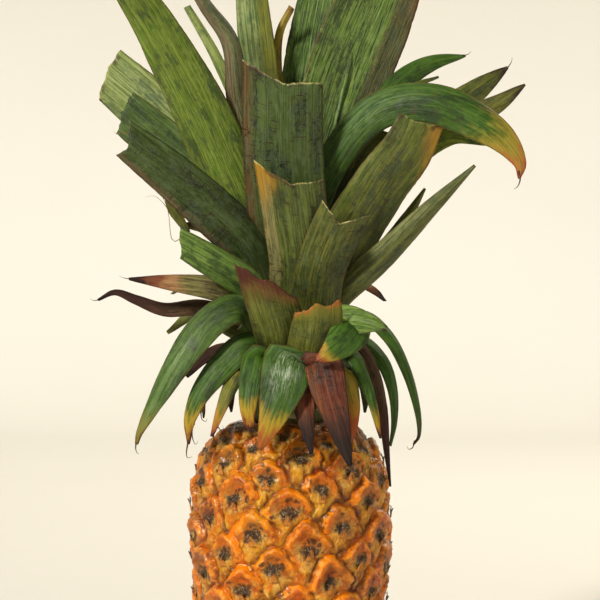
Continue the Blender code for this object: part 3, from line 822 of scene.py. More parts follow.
@dataclass
class Bracts:
    """The pointed papery bract under the middle of each eye."""

    form: FruitForm
    low: float = 16.0
    high: float = 134.0
    length: float = 6.4
    width: float = 4.6
    stand: float = 1.5
    half_thick: float = 0.11
    rows: int = 8
    columns: int = 7
    seed: int = 1000
    finish: PaperFinish = PaperFinish("bract_paper", rgb(198, 128, 46), rgb(150, 80, 24), rgb(78, 42, 22))

    def build(self) -> None:
        """Builds every bract as one piece."""
        shape = Shape()
        faces = self.sheet_faces()
        for n in self.form.eyes(self.low, self.high):
            points, blade = self.bract(n)
            shape.add(points, faces, blade=blade)
        shape.settle("bracts", self.finish.material(), Node.FRUIT)

    def bract(self, n: int) -> tuple[list[np.ndarray], list[Point]]:
        """Shapes the bract of eye n as a front and a back sheet.

        Args:
            n: the eye's number.

        Returns:
            The points, and each point's place across and along the bract with the bract's own number.
        """
        rng = np.random.default_rng(self.seed + n)
        z, size, outward, sideways = self.form.eye(n)
        length = self.length * size * rng.uniform(0.8, 1.15)
        lean = rng.uniform(-0.8, 0.8)
        stand = self.stand * rng.uniform(0.6, 1.0)
        own = rng.uniform()
        points, blade = [], []
        for side in (1, -1):
            for i in range(self.rows + 1):
                t = i / self.rows
                height = z - self.length * size + length * t
                half = self.width * size / 2 * (1.0 - t) ** 0.75 + 0.12
                radius = float(self.form.radius(height)) - 1.1 + (stand + 0.9) * t ** 1.6
                for j in range(self.columns):
                    u = 2 * j / (self.columns - 1) - 1
                    crease = 0.7 * (1.0 - abs(u)) * (1.0 - 0.5 * t)
                    away = outward * (radius + crease + side * self.half_thick)
                    points.append(away + sideways * (u * half + lean * t) + UP * height)
                    blade.append((u, t, own))
        return points, blade

    def sheet_faces(self) -> list[tuple[int, ...]]:
        """The faces of a front and a back sheet of points, and of the rim that joins them.

        Returns:
            The faces, the rim's last.
        """
        sheet = (self.rows + 1) * self.columns
        faces = []
        for i in range(self.rows):
            for j in range(self.columns - 1):
                a = i * self.columns + j
                b = a + sheet
                faces.append((a, a + 1, a + self.columns + 1, a + self.columns))
                faces.append((b, b + self.columns, b + self.columns + 1, b + 1))
        grid = np.arange(sheet).reshape(self.rows + 1, self.columns)
        rim = np.concatenate([grid[0], grid[1:, -1], grid[-1, -2::-1], grid[-2:0:-1, 0]]).tolist()
        return faces + [(b, a, a + sheet, b + sheet) for a, b in zip(rim, rim[1:] + rim[:1])]


@dataclass
class FlowerRemains:
    """The dried flower threads in the middle of each eye, as thin three-sided strands."""

    form: FruitForm
    low: float = 10.0
    high: float = 140.0
    strands: int = 16
    spread: float = 2.6
    thick: float = 0.16
    spans: int = 4
    seed: int = 5000
    pale_seed: int = 5500
    dark: PaperFinish = PaperFinish("dark_threads", rgb(74, 52, 42), rgb(40, 28, 26), rgb(120, 100, 84), 0.85)
    pale: PaperFinish = PaperFinish("pale_threads", rgb(178, 160, 132), rgb(126, 104, 82), rgb(196, 182, 158), 0.85)

    def build(self) -> None:
        """Builds the dark threads as one piece and half as many pale ones as another."""
        for name, finish, seed, strands in (("flower_remains_dark", self.dark, self.seed, self.strands),
                                            ("flower_remains_pale", self.pale, self.pale_seed, self.strands // 2)):
            shape = Shape()
            for n in self.form.eyes(self.low, self.high):
                rng = np.random.default_rng(seed + n)
                for _ in range(strands):
                    self.add(n, rng, shape)
            shape.settle(name, finish.material(), Node.FRUIT)

    def add(self, n: int, rng: np.random.Generator, shape: Shape) -> None:
        """Adds one strand that lies bent over the middle of eye n.

        Args:
            n: the eye's number.
            rng: the source of its small differences.
            shape: the piece that it is added to.
        """
        z, size, outward, sideways = self.form.eye(n)
        a, b = rng.normal(0.0, 0.45, 2) * self.spread * size
        heading = rng.uniform(0.0, 2 * math.pi)
        length = rng.uniform(1.6, 3.4) * size
        bend = rng.uniform(-1.6, 1.6)
        own = rng.uniform()
        centres, radii, blade = [], [], []
        for i in range(self.spans + 1):
            t = i / self.spans
            angle = heading + bend * t
            x = a + math.cos(angle) * length * (t - 0.5)
            y = b - 1.2 * size + math.sin(angle) * length * (t - 0.5)
            lift = -0.5 + 0.9 * math.sin(math.pi * t) + 0.2 * own
            centres.append(outward * (float(self.form.radius(z + y)) + lift) + sideways * x + UP * (z + y))
            radii.append(self.thick * (1.0 - 0.6 * t))
            blade += [(0.0, t, own)] * 3
        points, faces = tube(centres, [(sideways, UP)] * len(centres), radii, 3)
        shape.add(points, faces, blade=blade)


@dataclass(frozen=True)
class LeafFinish:
    """A leaf's colours, from its base to its tip and across its blade."""

    name: str
    base: Colour
    light: Colour
    dark: Colour
    edge: Colour = rgb(96, 74, 34)
    edge_width: float = 0.04
    turn: Colour = rgb(162, 138, 40)
    tip: Colour = rgb(150, 84, 34)
    burn: Colour = rgb(52, 28, 18)
    tip_start: float = 1.4
    burn_start: float = 1.4
    flank: Colour = rgb(110, 80, 50)
    flank_side: float = 0.0
    flank_width: float = 0.3
    horn: Colour = rgb(200, 130, 34)
    horn_side: float = 0.0
    waxy: Colour = rgb(116, 142, 96)
    bloom: float = 0.25
    scratch: float = 0.0
    # how strong the painted shade in the blade's grooves is
    groove: float = 0.6
    crack: float = 0.3
    dry: float = 0.0
    cut: float = 0.0
    root: Colour = rgb(96, 104, 54)
    powder: Colour = rgb(206, 214, 190)
    straw: Colour = rgb(188, 176, 112)

    def material(self) -> bpy.types.Material:
        """Writes the material.

        Returns:
            The finished material.
        """
        s = Shader(self.name, Specular_IOR_Level=0.28)
        across, along, seed = s.attribute("blade").parts()
        wide, far, _ = s.attribute("place").parts()
        shift = seed * 37.0
        fibre = s.noise(s.join(wide * 1.7, far * 0.04, shift), 1.0, 4, 0.62)
        vein = s.noise(s.join(wide * 0.55, far * 0.012, shift), 1.0, 3, 0.6)
        patch = s.noise(s.join(wide * 0.11, far * 0.030, shift), 1.0, 4)
        mottle = s.noise(s.join(wide * 0.34, far * 0.16, shift), 1.0, 5, 0.65)
        speck = s.noise(s.join(wide * 1.1, far * 0.8, shift), 1.0, 3, 0.7)
        groove = (abs(vein - 0.5).step(0.026, 0.006) + abs(vein - 0.42).step(0.018, 0.004) * 0.7).least(1.0)
        colour = s.layers(
            self.base,
            (self.light, (fibre * 0.35 + mottle * 0.4 + patch * 0.25).step(0.40, 0.60)),
            (self.light, vein.step(0.54, 0.66) * 0.4),
            (self.dark, (patch * 0.55 + mottle * 0.45).step(0.48, 0.60) * 0.85))
        if self.flank_side:
            side = across * self.flank_side + (mottle - 0.5) * 0.5
            start = 0.8 - 2 * self.flank_width
            flank = s.mix(self.flank, self.dark, (mottle * 0.5 + fibre * 0.5).step(0.48, 0.62) * 0.7)
            colour = s.mix(colour, flank, side.step(start, start + 0.25) * 0.85)
        waxed = (mottle * 0.6 + speck * 0.25 + patch * 0.15).step(0.47, 0.58)
        # painted shade: dark lines down the grooves of the blade
        colour = s.layers(colour, (self.dark, groove * self.groove), (self.waxy, waxed * self.bloom))
        if self.scratch > 0.0:
            lines = s.noise(s.join(wide * 2.6 + far * 0.35, far * 0.16, shift + 3.0), 1.0, 5, 0.75)
            middle = along.step(0.24, 0.46) * along.step(0.72, 0.52) * abs(across - 0.1).step(0.9, 0.1)
            powder = lines.step(0.48, 0.66) * 0.75 + mottle.step(0.46, 0.66) * 0.35
            colour = s.mix(colour, self.powder, powder * middle * self.scratch)
        place = s.join(wide * 0.16 + (mottle - 0.5) * 1.5, far * 0.08 + (speck - 0.5) * 0.4, shift)
        net = s.node("ShaderNodeTexVoronoi", {"feature": "DISTANCE_TO_EDGE"}, {"Vector": place, "Scale": 1.6})
        cross = s.noise(s.join(wide * 0.12, far * 1.2, shift), 1.0, 1)
        colour = s.layers(
            colour,
            (self.dark, net.step(0.05, 0.010) * patch.step(0.48, 0.58) * self.crack),
            (self.burn, cross.step(0.655, 0.69) * patch.step(0.42, 0.55) * self.crack))
        tipped = along + (fibre - 0.5) * 0.18 + (mottle - 0.5) * 0.22 + abs(across) * 0.06
        colour = s.layers(
            s.mix(self.root, colour, along.step(0.0, 0.25)),
            (self.turn, tipped.step(self.tip_start - 0.17, self.tip_start - 0.03) * 0.9),
            (self.tip, tipped.step(self.tip_start - 0.05, self.tip_start + 0.06)))
        if self.horn_side:
            corner = along * 1.6 + across * self.horn_side * 0.5 + (mottle - 0.5) * 0.5
            colour = s.mix(colour, self.horn, corner.step(1.58, 2.0))
        rim = (abs(across) + (mottle - 0.5) * 0.10).step(1.0 - self.edge_width * 2, 1.0 - self.edge_width * 0.3)
        colour = s.layers(
            colour,
            (self.edge, rim * speck.step(0.36, 0.56) * 0.75),
            (self.burn, tipped.step(self.burn_start - 0.06, self.burn_start + 0.03)))
        if self.cut > 0.0:
            end = (along + (mottle - 0.5) * 0.06).step(0.965, 0.99)
            colour = s.layers(
                colour,
                (self.straw, along.step(0.990, 0.996) * mottle.step(0.40, 0.52) * self.cut),
                (self.burn, end * patch.step(0.48, 0.56) * 0.7))
        colour = s.mix(colour, self.burn, speck.step(0.68, 0.76) * mottle.step(0.45, 0.55) * 0.7)
        rough = 0.46 + (speck - 0.5) * 0.3 + mottle * 0.10 + 0.25 * self.dry
        relief = fibre * 0.35 + vein * 0.9 + mottle * 0.45 - groove * 0.15
        return s.dress(colour, rough, relief, 0.0007 + 0.0005 * self.dry)


GREEN = LeafFinish("leaf_green", rgb(48, 80, 14), rgb(82, 114, 32), rgb(20, 40, 6), bloom=0.06, groove=0.4)
BRIGHT = LeafFinish("leaf_bright", rgb(82, 114, 32), rgb(130, 154, 68), rgb(36, 62, 14), bloom=0.10)
TALL = LeafFinish("leaf_tall", rgb(86, 112, 28), rgb(134, 150, 56), rgb(38, 60, 12), bloom=0.10)
BLUE = LeafFinish("leaf_blue", rgb(66, 90, 32), rgb(102, 124, 58), rgb(32, 48, 14), waxy=rgb(112, 132, 92),
                  bloom=0.22, crack=0.5)
PALE = LeafFinish("leaf_pale", rgb(108, 126, 56), rgb(160, 168, 96), rgb(58, 78, 24), bloom=0.18)
DARK = LeafFinish("leaf_dark", rgb(52, 70, 26), rgb(86, 102, 48), rgb(20, 26, 8), edge=rgb(48, 30, 16),
                  waxy=rgb(98, 116, 82), bloom=0.28, crack=0.7, groove=0.4)
GREY = LeafFinish("leaf_grey_brown", rgb(88, 94, 54), rgb(132, 128, 88), rgb(50, 48, 22), edge=rgb(60, 52, 24),
                  flank=rgb(120, 100, 72), flank_side=-1.0, flank_width=0.3, bloom=0.2)
OLIVE = LeafFinish("leaf_olive", rgb(76, 82, 22), rgb(118, 116, 42), rgb(32, 38, 8), bloom=0.15)
DRY = LeafFinish("leaf_dry", rgb(104, 104, 54), rgb(156, 140, 88), rgb(58, 46, 26), turn=rgb(178, 130, 86),
                 tip=rgb(128, 72, 46), burn=rgb(44, 24, 18), tip_start=0.80, burn_start=0.93, bloom=0.1, dry=1.0)
BROWN = LeafFinish("leaf_dark_brown", rgb(74, 50, 34), rgb(112, 82, 54), rgb(34, 20, 14), turn=rgb(70, 44, 30),
                   tip=rgb(58, 32, 24), burn=rgb(28, 16, 14), tip_start=0.7, burn_start=0.96, bloom=0.05, dry=1.0)
PURPLE = LeafFinish("leaf_purple", rgb(92, 42, 24), rgb(136, 72, 44), rgb(38, 18, 14), turn=rgb(66, 40, 30),
                    tip=rgb(46, 32, 28), burn=rgb(30, 20, 20), tip_start=0.84, burn_start=1.03,
                    edge=rgb(50, 26, 20), waxy=rgb(128, 108, 98), bloom=0.25, crack=0.7, dry=0.8,
                    flank=rgb(130, 74, 34), flank_side=1.0, flank_width=0.2, root=rgb(130, 56, 24))
RIPE = LeafFinish("leaf_ripening", rgb(46, 80, 12), rgb(80, 114, 30), rgb(22, 46, 6), turn=rgb(176, 142, 32),
                  tip=rgb(160, 84, 28), tip_start=0.95, burn_start=1.01, bloom=0.03, groove=0.4)
ORANGE = LeafFinish("leaf_orange", rgb(122, 112, 26), rgb(176, 144, 42), rgb(84, 76, 14), turn=rgb(176, 122, 30),
                    tip=rgb(166, 80, 28), burn=rgb(92, 36, 18), tip_start=0.80, burn_start=1.02, bloom=0.04,
                    root=rgb(96, 100, 34))
BLOOM = replace(RIPE, name="leaf_powdery", tip_start=0.90, burn_start=1.06, scratch=0.9, bloom=0.10)
TORN = LeafFinish("leaf_torn", rgb(82, 92, 28), rgb(128, 128, 54), rgb(44, 54, 14), turn=rgb(112, 82, 36),
                  tip=rgb(88, 46, 26), burn=rgb(46, 20, 12), tip_start=0.93, burn_start=1.08, crack=0.6, bloom=0.1,
                  horn=rgb(80, 38, 24), horn_side=-1.0)
BACK = LeafFinish("leaf_behind", rgb(56, 80, 28), rgb(92, 114, 52), rgb(26, 44, 14), burn_start=1.02)


@dataclass
class Leaf:
    """One leaf: its spine, the shape of its blade and its finish."""

    name: str
    width: float
    finish: LeafFinish
    spine: list[Point]
    tip: float = 0.06
    fold: float = 0.3
    face: float = -90.0
    rise: float = 0.0
    end: Point = (0.0, 0.0, 0.0)
    base: float = 0.9
    wide: float = 0.35
    ragged: float = 0.9
    seen: bool = True
    hugs: bool = False


LEAVES = (
    Leaf("tall_left", 31, TALL, [(-7, -3, 222), (-26, -18, 265), (-47, -30, 312), (-69, -42, 353), (-84, -50, 376),
         (-98, -56, 402)], tip=0.34, fold=0.42, face=-104, base=0.7),
    Leaf("pale_left", 33, replace(PALE, name="leaf_pale_left", cut=0.5), [(-8, 8, 226), (-30, 14, 265),
         (-47, 22, 286), (-73, 34, 312), (-95, 44, 331)], tip=0.86, fold=0.22, face=-96, end=(-5, 0, 4), base=0.6),
    Leaf("blue_left", 27, BLUE, [(-9, 2, 222), (-26, 4, 258), (-39, 6, 271), (-62, 9, 291), (-88, 12, 312)],
         tip=0.85, fold=0.26, face=-98, end=(-3, 0, 3), base=0.7, ragged=2.4),
    Leaf("dark_left", 25, replace(DARK, name="leaf_dark_left", flank=rgb(110, 88, 58), flank_side=-1.0,
         flank_width=0.10, bloom=0.4), [(-9, -8, 214), (-21, -18, 240), (-39, -27, 258), (-62, -36, 278),
         (-88, -44, 298)], tip=0.72, fold=0.40, face=-84, end=(-3, -4, 3), base=0.8, ragged=1.6),
    Leaf("narrow_left", 13, GREY, [(-7, -10, 226), (-17, -21, 270), (-27, -26, 315), (-31, -27, 346),
         (-44, -25, 366), (-60, -20, 390)], tip=0.3, fold=0.5, face=-70),
    Leaf("stripe_middle", 21, replace(PALE, name="leaf_striped", flank=rgb(136, 134, 40), flank_side=1.0,
         flank_width=0.34, base=rgb(84, 108, 56)), [(-5, 6, 240), (-13, 12, 291), (-16, 16, 330), (-20, 20, 369),
         (-22, 24, 404)], tip=0.55, fold=0.3, face=-88, base=0.8),
    Leaf("broad_right", 46, replace(BLUE, name="leaf_broad", edge=rgb(96, 50, 30), groove=1.0, bloom=0.12,
         flank=rgb(88, 74, 40), flank_side=1.0, flank_width=0.24, light=rgb(140, 164, 80), base=rgb(90, 118, 40),
         horn=rgb(116, 60, 34), horn_side=1.0), [(6, 4, 236), (18, 12, 290), (30, 22, 330), (46, 32, 369),
         (64, 42, 408)], tip=0.5, fold=-0.22, face=-78, base=0.6, wide=0.6),
    Leaf("broad_inner", 36, replace(BLUE, name="leaf_broad_inner", edge=rgb(34, 52, 20), groove=1.0,
         light=rgb(132, 158, 78), base=rgb(82, 112, 36), bloom=0.12), [(2, 8, 236), (6, 17, 290), (13, 27, 330),
         (20, 38, 369), (28, 50, 406)], tip=0.55, fold=-0.25, face=-98, base=0.6, wide=0.6),
    Leaf("bud_stub", 5, replace(ORANGE, name="leaf_bud", tip_start=1.02, turn=rgb(150, 130, 40)), [(0, 20, 290),
         (-6, 25, 325), (-6, 26, 350), (1, 25, 366)], tip=0.7, fold=0.2),
    Leaf("front_cut_high", 41, replace(DARK, name="leaf_front_high", cut=0.8, crack=1.0, flank=rgb(108, 76, 42),
         flank_side=-1.0, flank_width=0.08, base=rgb(66, 84, 34), waxy=rgb(98, 120, 84), bloom=0.35), [(1, -10, 230),
         (-2, -24, 262), (-4, -34, 297), (-4, -41, 328)], tip=0.98, fold=0.26, face=-92, end=(10, -1, -1),
         base=0.55),
    Leaf("front_cut_low", 33, replace(OLIVE, name="leaf_front_low", cut=0.9, flank=rgb(152, 140, 88),
         flank_side=-1.0, flank_width=0.15, horn=rgb(172, 128, 34), horn_side=-1.0, crack=0.8, base=rgb(70, 82, 28),
         light=rgb(108, 116, 50)), [(4, -14, 200), (6, -30, 230), (3, -40, 254), (0, -47, 275)], tip=1.0, fold=0.3,
         face=-94, end=(13, 0, -1), base=0.7),
    Leaf("front_cut_right", 26, replace(OLIVE, name="leaf_front_right", cut=0.9, base=rgb(66, 78, 34), crack=0.8,
         waxy=rgb(96, 120, 80), bloom=0.3), [(10, -14, 194), (15, -32, 226), (22, -42, 246), (28, -49, 259)],
         tip=0.95, fold=0.34, face=-80, end=(2, -5, 4), base=0.8),
    Leaf("right_orange", 30, replace(OLIVE, name="leaf_right_orange", base=rgb(66, 84, 24), horn=rgb(172, 128, 34),
         horn_side=1.0, crack=0.5, cut=0.3, bloom=0.15), [(12, -8, 205), (27, -20, 240), (45, -30, 270),
         (60, -36, 290), (68, -38, 306)], tip=0.8, fold=0.34, face=-74, end=(0, 0, 3), base=0.8, ragged=1.2),
    Leaf("right_behind", 22, OLIVE, [(9, -4, 222), (24, -8, 258), (38, -11, 286), (52, -13, 300)], tip=0.5, fold=0.3,
         face=-70, end=(-3, 0, 3), base=0.8),
    Leaf("torn_left", 27, TORN, [(-1, -16, 174), (-5, -35, 196), (-10, -46, 213), (-14, -53, 226)], tip=0.9,
         fold=0.34, face=-96, end=(12, 0, -14), base=0.85, ragged=2.6),
    Leaf("torn_middle", 27, replace(TORN, name="leaf_torn_orange", tip=rgb(170, 96, 34), turn=rgb(120, 116, 36),
         tip_start=1.0, bloom=0.25, waxy=rgb(104, 124, 70), horn_side=0.0), [(9, -16, 170), (12, -38, 188),
         (14, -48, 203), (14, -52, 212)], tip=0.86, fold=0.38, face=-84, end=(-3, 1, 3), base=0.9, ragged=2.4),
    Leaf("arch_right", 21, replace(GREEN, name="leaf_arching", tip=rgb(176, 92, 46), burn=rgb(110, 34, 22),
         turn=rgb(158, 138, 48), tip_start=0.97, burn_start=1.04, scratch=0.18, root=rgb(92, 72, 32)), [(8, -8, 232),
         (13, -15, 262), (24, -22, 288), (41, -28, 308), (57, -32, 315), (74, -36, 315), (91, -39, 309),
         (109, -43, 298), (119, -45, 285), (119, -46, 276)], tip=0.06, fold=0.3, rise=10, base=0.65, wide=0.68),
    Leaf("upper_right_a", 13, GREEN, [(7, 4, 232), (24, 6, 275), (42, 10, 308), (57, 16, 326), (73, 22, 336),
         (91, 26, 340)], tip=0.1, fold=0.4, rise=12, wide=0.66),
    Leaf("pale_strip", 7, PALE, [(-6, 6, 240), (-22, 10, 300), (-38, 14, 338), (-54, 18, 366)], tip=0.55, fold=0.3),
    Leaf("under_arch", 16, replace(BRIGHT, name="leaf_under_arch", base=rgb(96, 116, 28), light=rgb(142, 152, 50)),
         [(12, 2, 224), (40, 0, 262), (64, -8, 289), (84, -14, 299), (103, -18, 294)], tip=0.1, fold=0.25, rise=10,
         wide=0.6),
    Leaf("upper_right_b", 9, OLIVE, [(16, 6, 258), (34, 8, 290), (52, 11, 313), (64, 13, 324), (77, 15, 329)],
         tip=0.14, fold=0.4, rise=20),
    Leaf("upper_right_c", 15, replace(OLIVE, name="leaf_upper_c", base=rgb(64, 74, 24), burn_start=1.0),
         [(8, 6, 228), (36, 12, 276), (68, 22, 304), (91, 30, 318), (113, 38, 334)], tip=0.1, fold=0.4, rise=10,
         wide=0.74),
    Leaf("upper_right_d", 13, replace(OLIVE, name="leaf_upper_d", base=rgb(84, 82, 30), burn_start=1.0),
         [(9, 2, 226), (40, 4, 277), (73, 8, 300), (104, 10, 313), (122, 11, 325)], tip=0.1, fold=0.4, rise=10,
         wide=0.74),
    Leaf("folded_right", 15, replace(OLIVE, name="leaf_folded", base=rgb(80, 86, 34), light=rgb(120, 122, 62),
         burn_start=1.04), [(12, -8, 200), (29, -19, 219), (49, -27, 237), (73, -34, 261), (96, -38, 283)], tip=0.1,
         fold=0.7, face=-66, rise=10, wide=0.3),
    Leaf("small_right", 9, OLIVE, [(28, -14, 221), (49, -18, 240), (60, -18, 255), (70, -18, 271)], tip=0.15,
         fold=0.5),
    Leaf("thin_droop_right", 9, replace(GREEN, name="leaf_thin_droop", burn_start=0.95), [(12, -4, 196),
         (36, -9, 204), (50, -11, 195), (60, -12, 177), (66, -12, 156), (67, -11, 143), (64, -10, 138)], tip=0.12,
         fold=0.35, face=-50, rise=20),
    Leaf("folded_low_right", 24, replace(BRIGHT, name="leaf_folded_low", base=rgb(72, 102, 28), bloom=0.3,
         waxy=rgb(128, 156, 96), burn_start=1.04), [(8, -14, 192), (27, -37, 201), (40, -46, 201), (50, -50, 198)],
         tip=0.12, fold=0.55, rise=10, wide=0.25),
    Leaf("orange_point", 20, replace(RIPE, name="leaf_orange_point", tip_start=0.88, turn=rgb(176, 144, 42),
         tip=rgb(152, 78, 38), root=rgb(84, 110, 34)), [(34, -38, 202), (30, -46, 195), (22, -52, 187),
         (13, -54, 181)], tip=0.08, fold=0.3, wide=0.25),
    Leaf("bright_left", 17, replace(BRIGHT, name="leaf_bright_left", light=rgb(136, 162, 80), base=rgb(84, 118, 38)),
         [(-9, -10, 204), (-24, -24, 222), (-39, -32, 232), (-58, -38, 243)], tip=0.8, fold=0.34, face=-98,
         end=(-4, 0, 4)),
    Leaf("hanging_bit", 8, OLIVE, [(-50, -34, 278), (-60, -31, 271), (-61, -31, 262), (-57, -31, 254),
         (-53, -31, 248)], tip=0.3, fold=0.3),
    Leaf("dry_left_high", 13, replace(OLIVE, name="leaf_dry_high", base=rgb(84, 72, 34), light=rgb(122, 106, 56)),
         [(-8, -4, 214), (-21, -16, 235), (-34, -24, 247), (-46, -26, 251), (-57, -26, 252)], tip=0.16, fold=0.3),
    Leaf("dry_left_point", 13, DRY, [(-12, -8, 198), (-27, -17, 213), (-40, -20, 219), (-62, -22, 222),
         (-84, -22, 224)], tip=0.1, fold=0.3, rise=15, wide=0.4),
    Leaf("curled_left", 9, BROWN, [(-12, -4, 198), (-27, -8, 204), (-47, -8, 209), (-65, -8, 208), (-80, -7, 213),
         (-91, -6, 217), (-100, -5, 213)], tip=0.14, fold=0.4, rise=15),
    Leaf("under_left", 10, OLIVE, [(-12, 2, 188), (-30, 5, 198), (-47, 8, 207), (-64, 10, 196)], tip=0.2, fold=0.3,
         rise=20),
    Leaf("big_droop_left", 20, replace(GREEN, name="leaf_big_droop", base=rgb(60, 88, 24), light=rgb(100, 128, 52),
         turn=rgb(124, 116, 40), tip=rgb(112, 60, 30), tip_start=1.0, burn_start=1.03, bloom=0.12, scratch=0.25),
         [(-10, -10, 192), (-26, -26, 208), (-42, -34, 201), (-57, -40, 182), (-70, -44, 160), (-78, -46, 145),
         (-80, -46, 138)], tip=0.08, fold=0.34, face=-112, rise=24, wide=0.35),
    Leaf("droop_left", 16, replace(GREEN, name="leaf_droop", turn=rgb(180, 148, 42), tip=rgb(134, 72, 32),
         tip_start=0.94, burn_start=1.02, scratch=0.2), [(-8, -13, 178), (-22, -30, 189), (-34, -36, 180),
         (-45, -40, 167), (-52, -42, 152), (-53, -42, 138)], tip=0.08, fold=0.34, face=-108, rise=20, wide=0.4),
    Leaf("brown_bit_left", 9, BROWN, [(-13, -5, 174), (-30, -10, 186), (-43, -13, 184), (-54, -14, 173)], tip=0.2,
         fold=0.2, rise=10),
    Leaf("orange_tip_left", 11, replace(RIPE, name="leaf_orange_tip", base=rgb(98, 104, 26), tip_start=0.92,
         turn=rgb(172, 128, 38), tip=rgb(162, 84, 36), light=rgb(136, 126, 42)), [(-11, -13, 170), (-24, -33, 178),
         (-31, -41, 168), (-36, -45, 156), (-41, -46, 142)], tip=0.14, fold=0.25, face=-116, wide=0.3),
    Leaf("green_yellow_left", 15, replace(RIPE, name="leaf_green_yellow", tip=rgb(150, 70, 30), tip_start=0.94,
         burn=rgb(66, 30, 22), burn_start=1.0), [(-6, -15, 174), (-16, -38, 183), (-20, -48, 172), (-22, -53, 158),
         (-21, -54, 146)], tip=0.3, fold=0.25, face=-104, wide=0.4, ragged=2.0),
    Leaf("bloom_middle", 27, BLOOM, [(2, -15, 172), (0, -42, 181), (-4, -52, 168), (-9, -57, 153), (-16, -57, 135)],
         tip=0.08, fold=0.22, face=-94, wide=0.35),
    Leaf("purple_left", 13, replace(PURPLE, name="leaf_purple_left", base=rgb(116, 58, 32), light=rgb(156, 84, 44)),
         [(3, -15, 164), (5, -40, 171), (7, -50, 158), (9, -54, 145), (11, -54, 133)], tip=0.14, fold=0.25, face=-86,
         wide=0.45),
    Leaf("purple_middle", 20, PURPLE, [(8, -14, 168), (16, -42, 180), (20, -52, 166), (25, -57, 148),
         (31, -56, 127)], tip=0.12, fold=0.22, face=-78, wide=0.4),
    Leaf("orange_middle", 13, ORANGE, [(11, -12, 165), (26, -34, 172), (31, -43, 160), (32, -47, 148),
         (31, -48, 138)], tip=0.14, fold=0.25, face=-72, wide=0.45),
    Leaf("right_strip_a", 9, RIPE, [(14, -10, 172), (30, -27, 184), (37, -33, 174), (43, -37, 158), (47, -38, 141)],
         tip=0.14, fold=0.3, face=-60),
    Leaf("right_strip_b", 7, BROWN, [(16, -5, 176), (34, -18, 188), (43, -23, 176), (48, -27, 156), (50, -29, 135),
         (52, -30, 116)], tip=0.12, fold=0.35, face=-64),
    Leaf("right_strip_c", 9, GREEN, [(16, -1, 172), (34, -8, 190), (47, -14, 182), (53, -17, 167), (54, -18, 150),
         (52, -18, 137)], tip=0.14, fold=0.3, face=-56),
    Leaf("side_droop_left", 18, replace(RIPE, name="leaf_side_left", base=rgb(64, 90, 24)), [(-12, -2, 158),
         (-23, -3, 169), (-34, -4, 173), (-44, -5, 168), (-49, -5, 158), (-50, -5, 148)], tip=0.1, face=184),
    Leaf("side_droop_right", 18, GREEN, [(12, 1, 158), (23, 1, 169), (34, 1, 173), (44, 0, 168), (49, 0, 158),
         (50, 0, 148)], tip=0.1, face=0),
)


@dataclass
class BackTier:
    """A tier of leaves that the photo hides, set round the back by the golden angle."""

    name: str
    count: int
    sector: float
    low: float
    climb: float
    lean: float
    droop: float
    length: float
    width: float
    tip: float


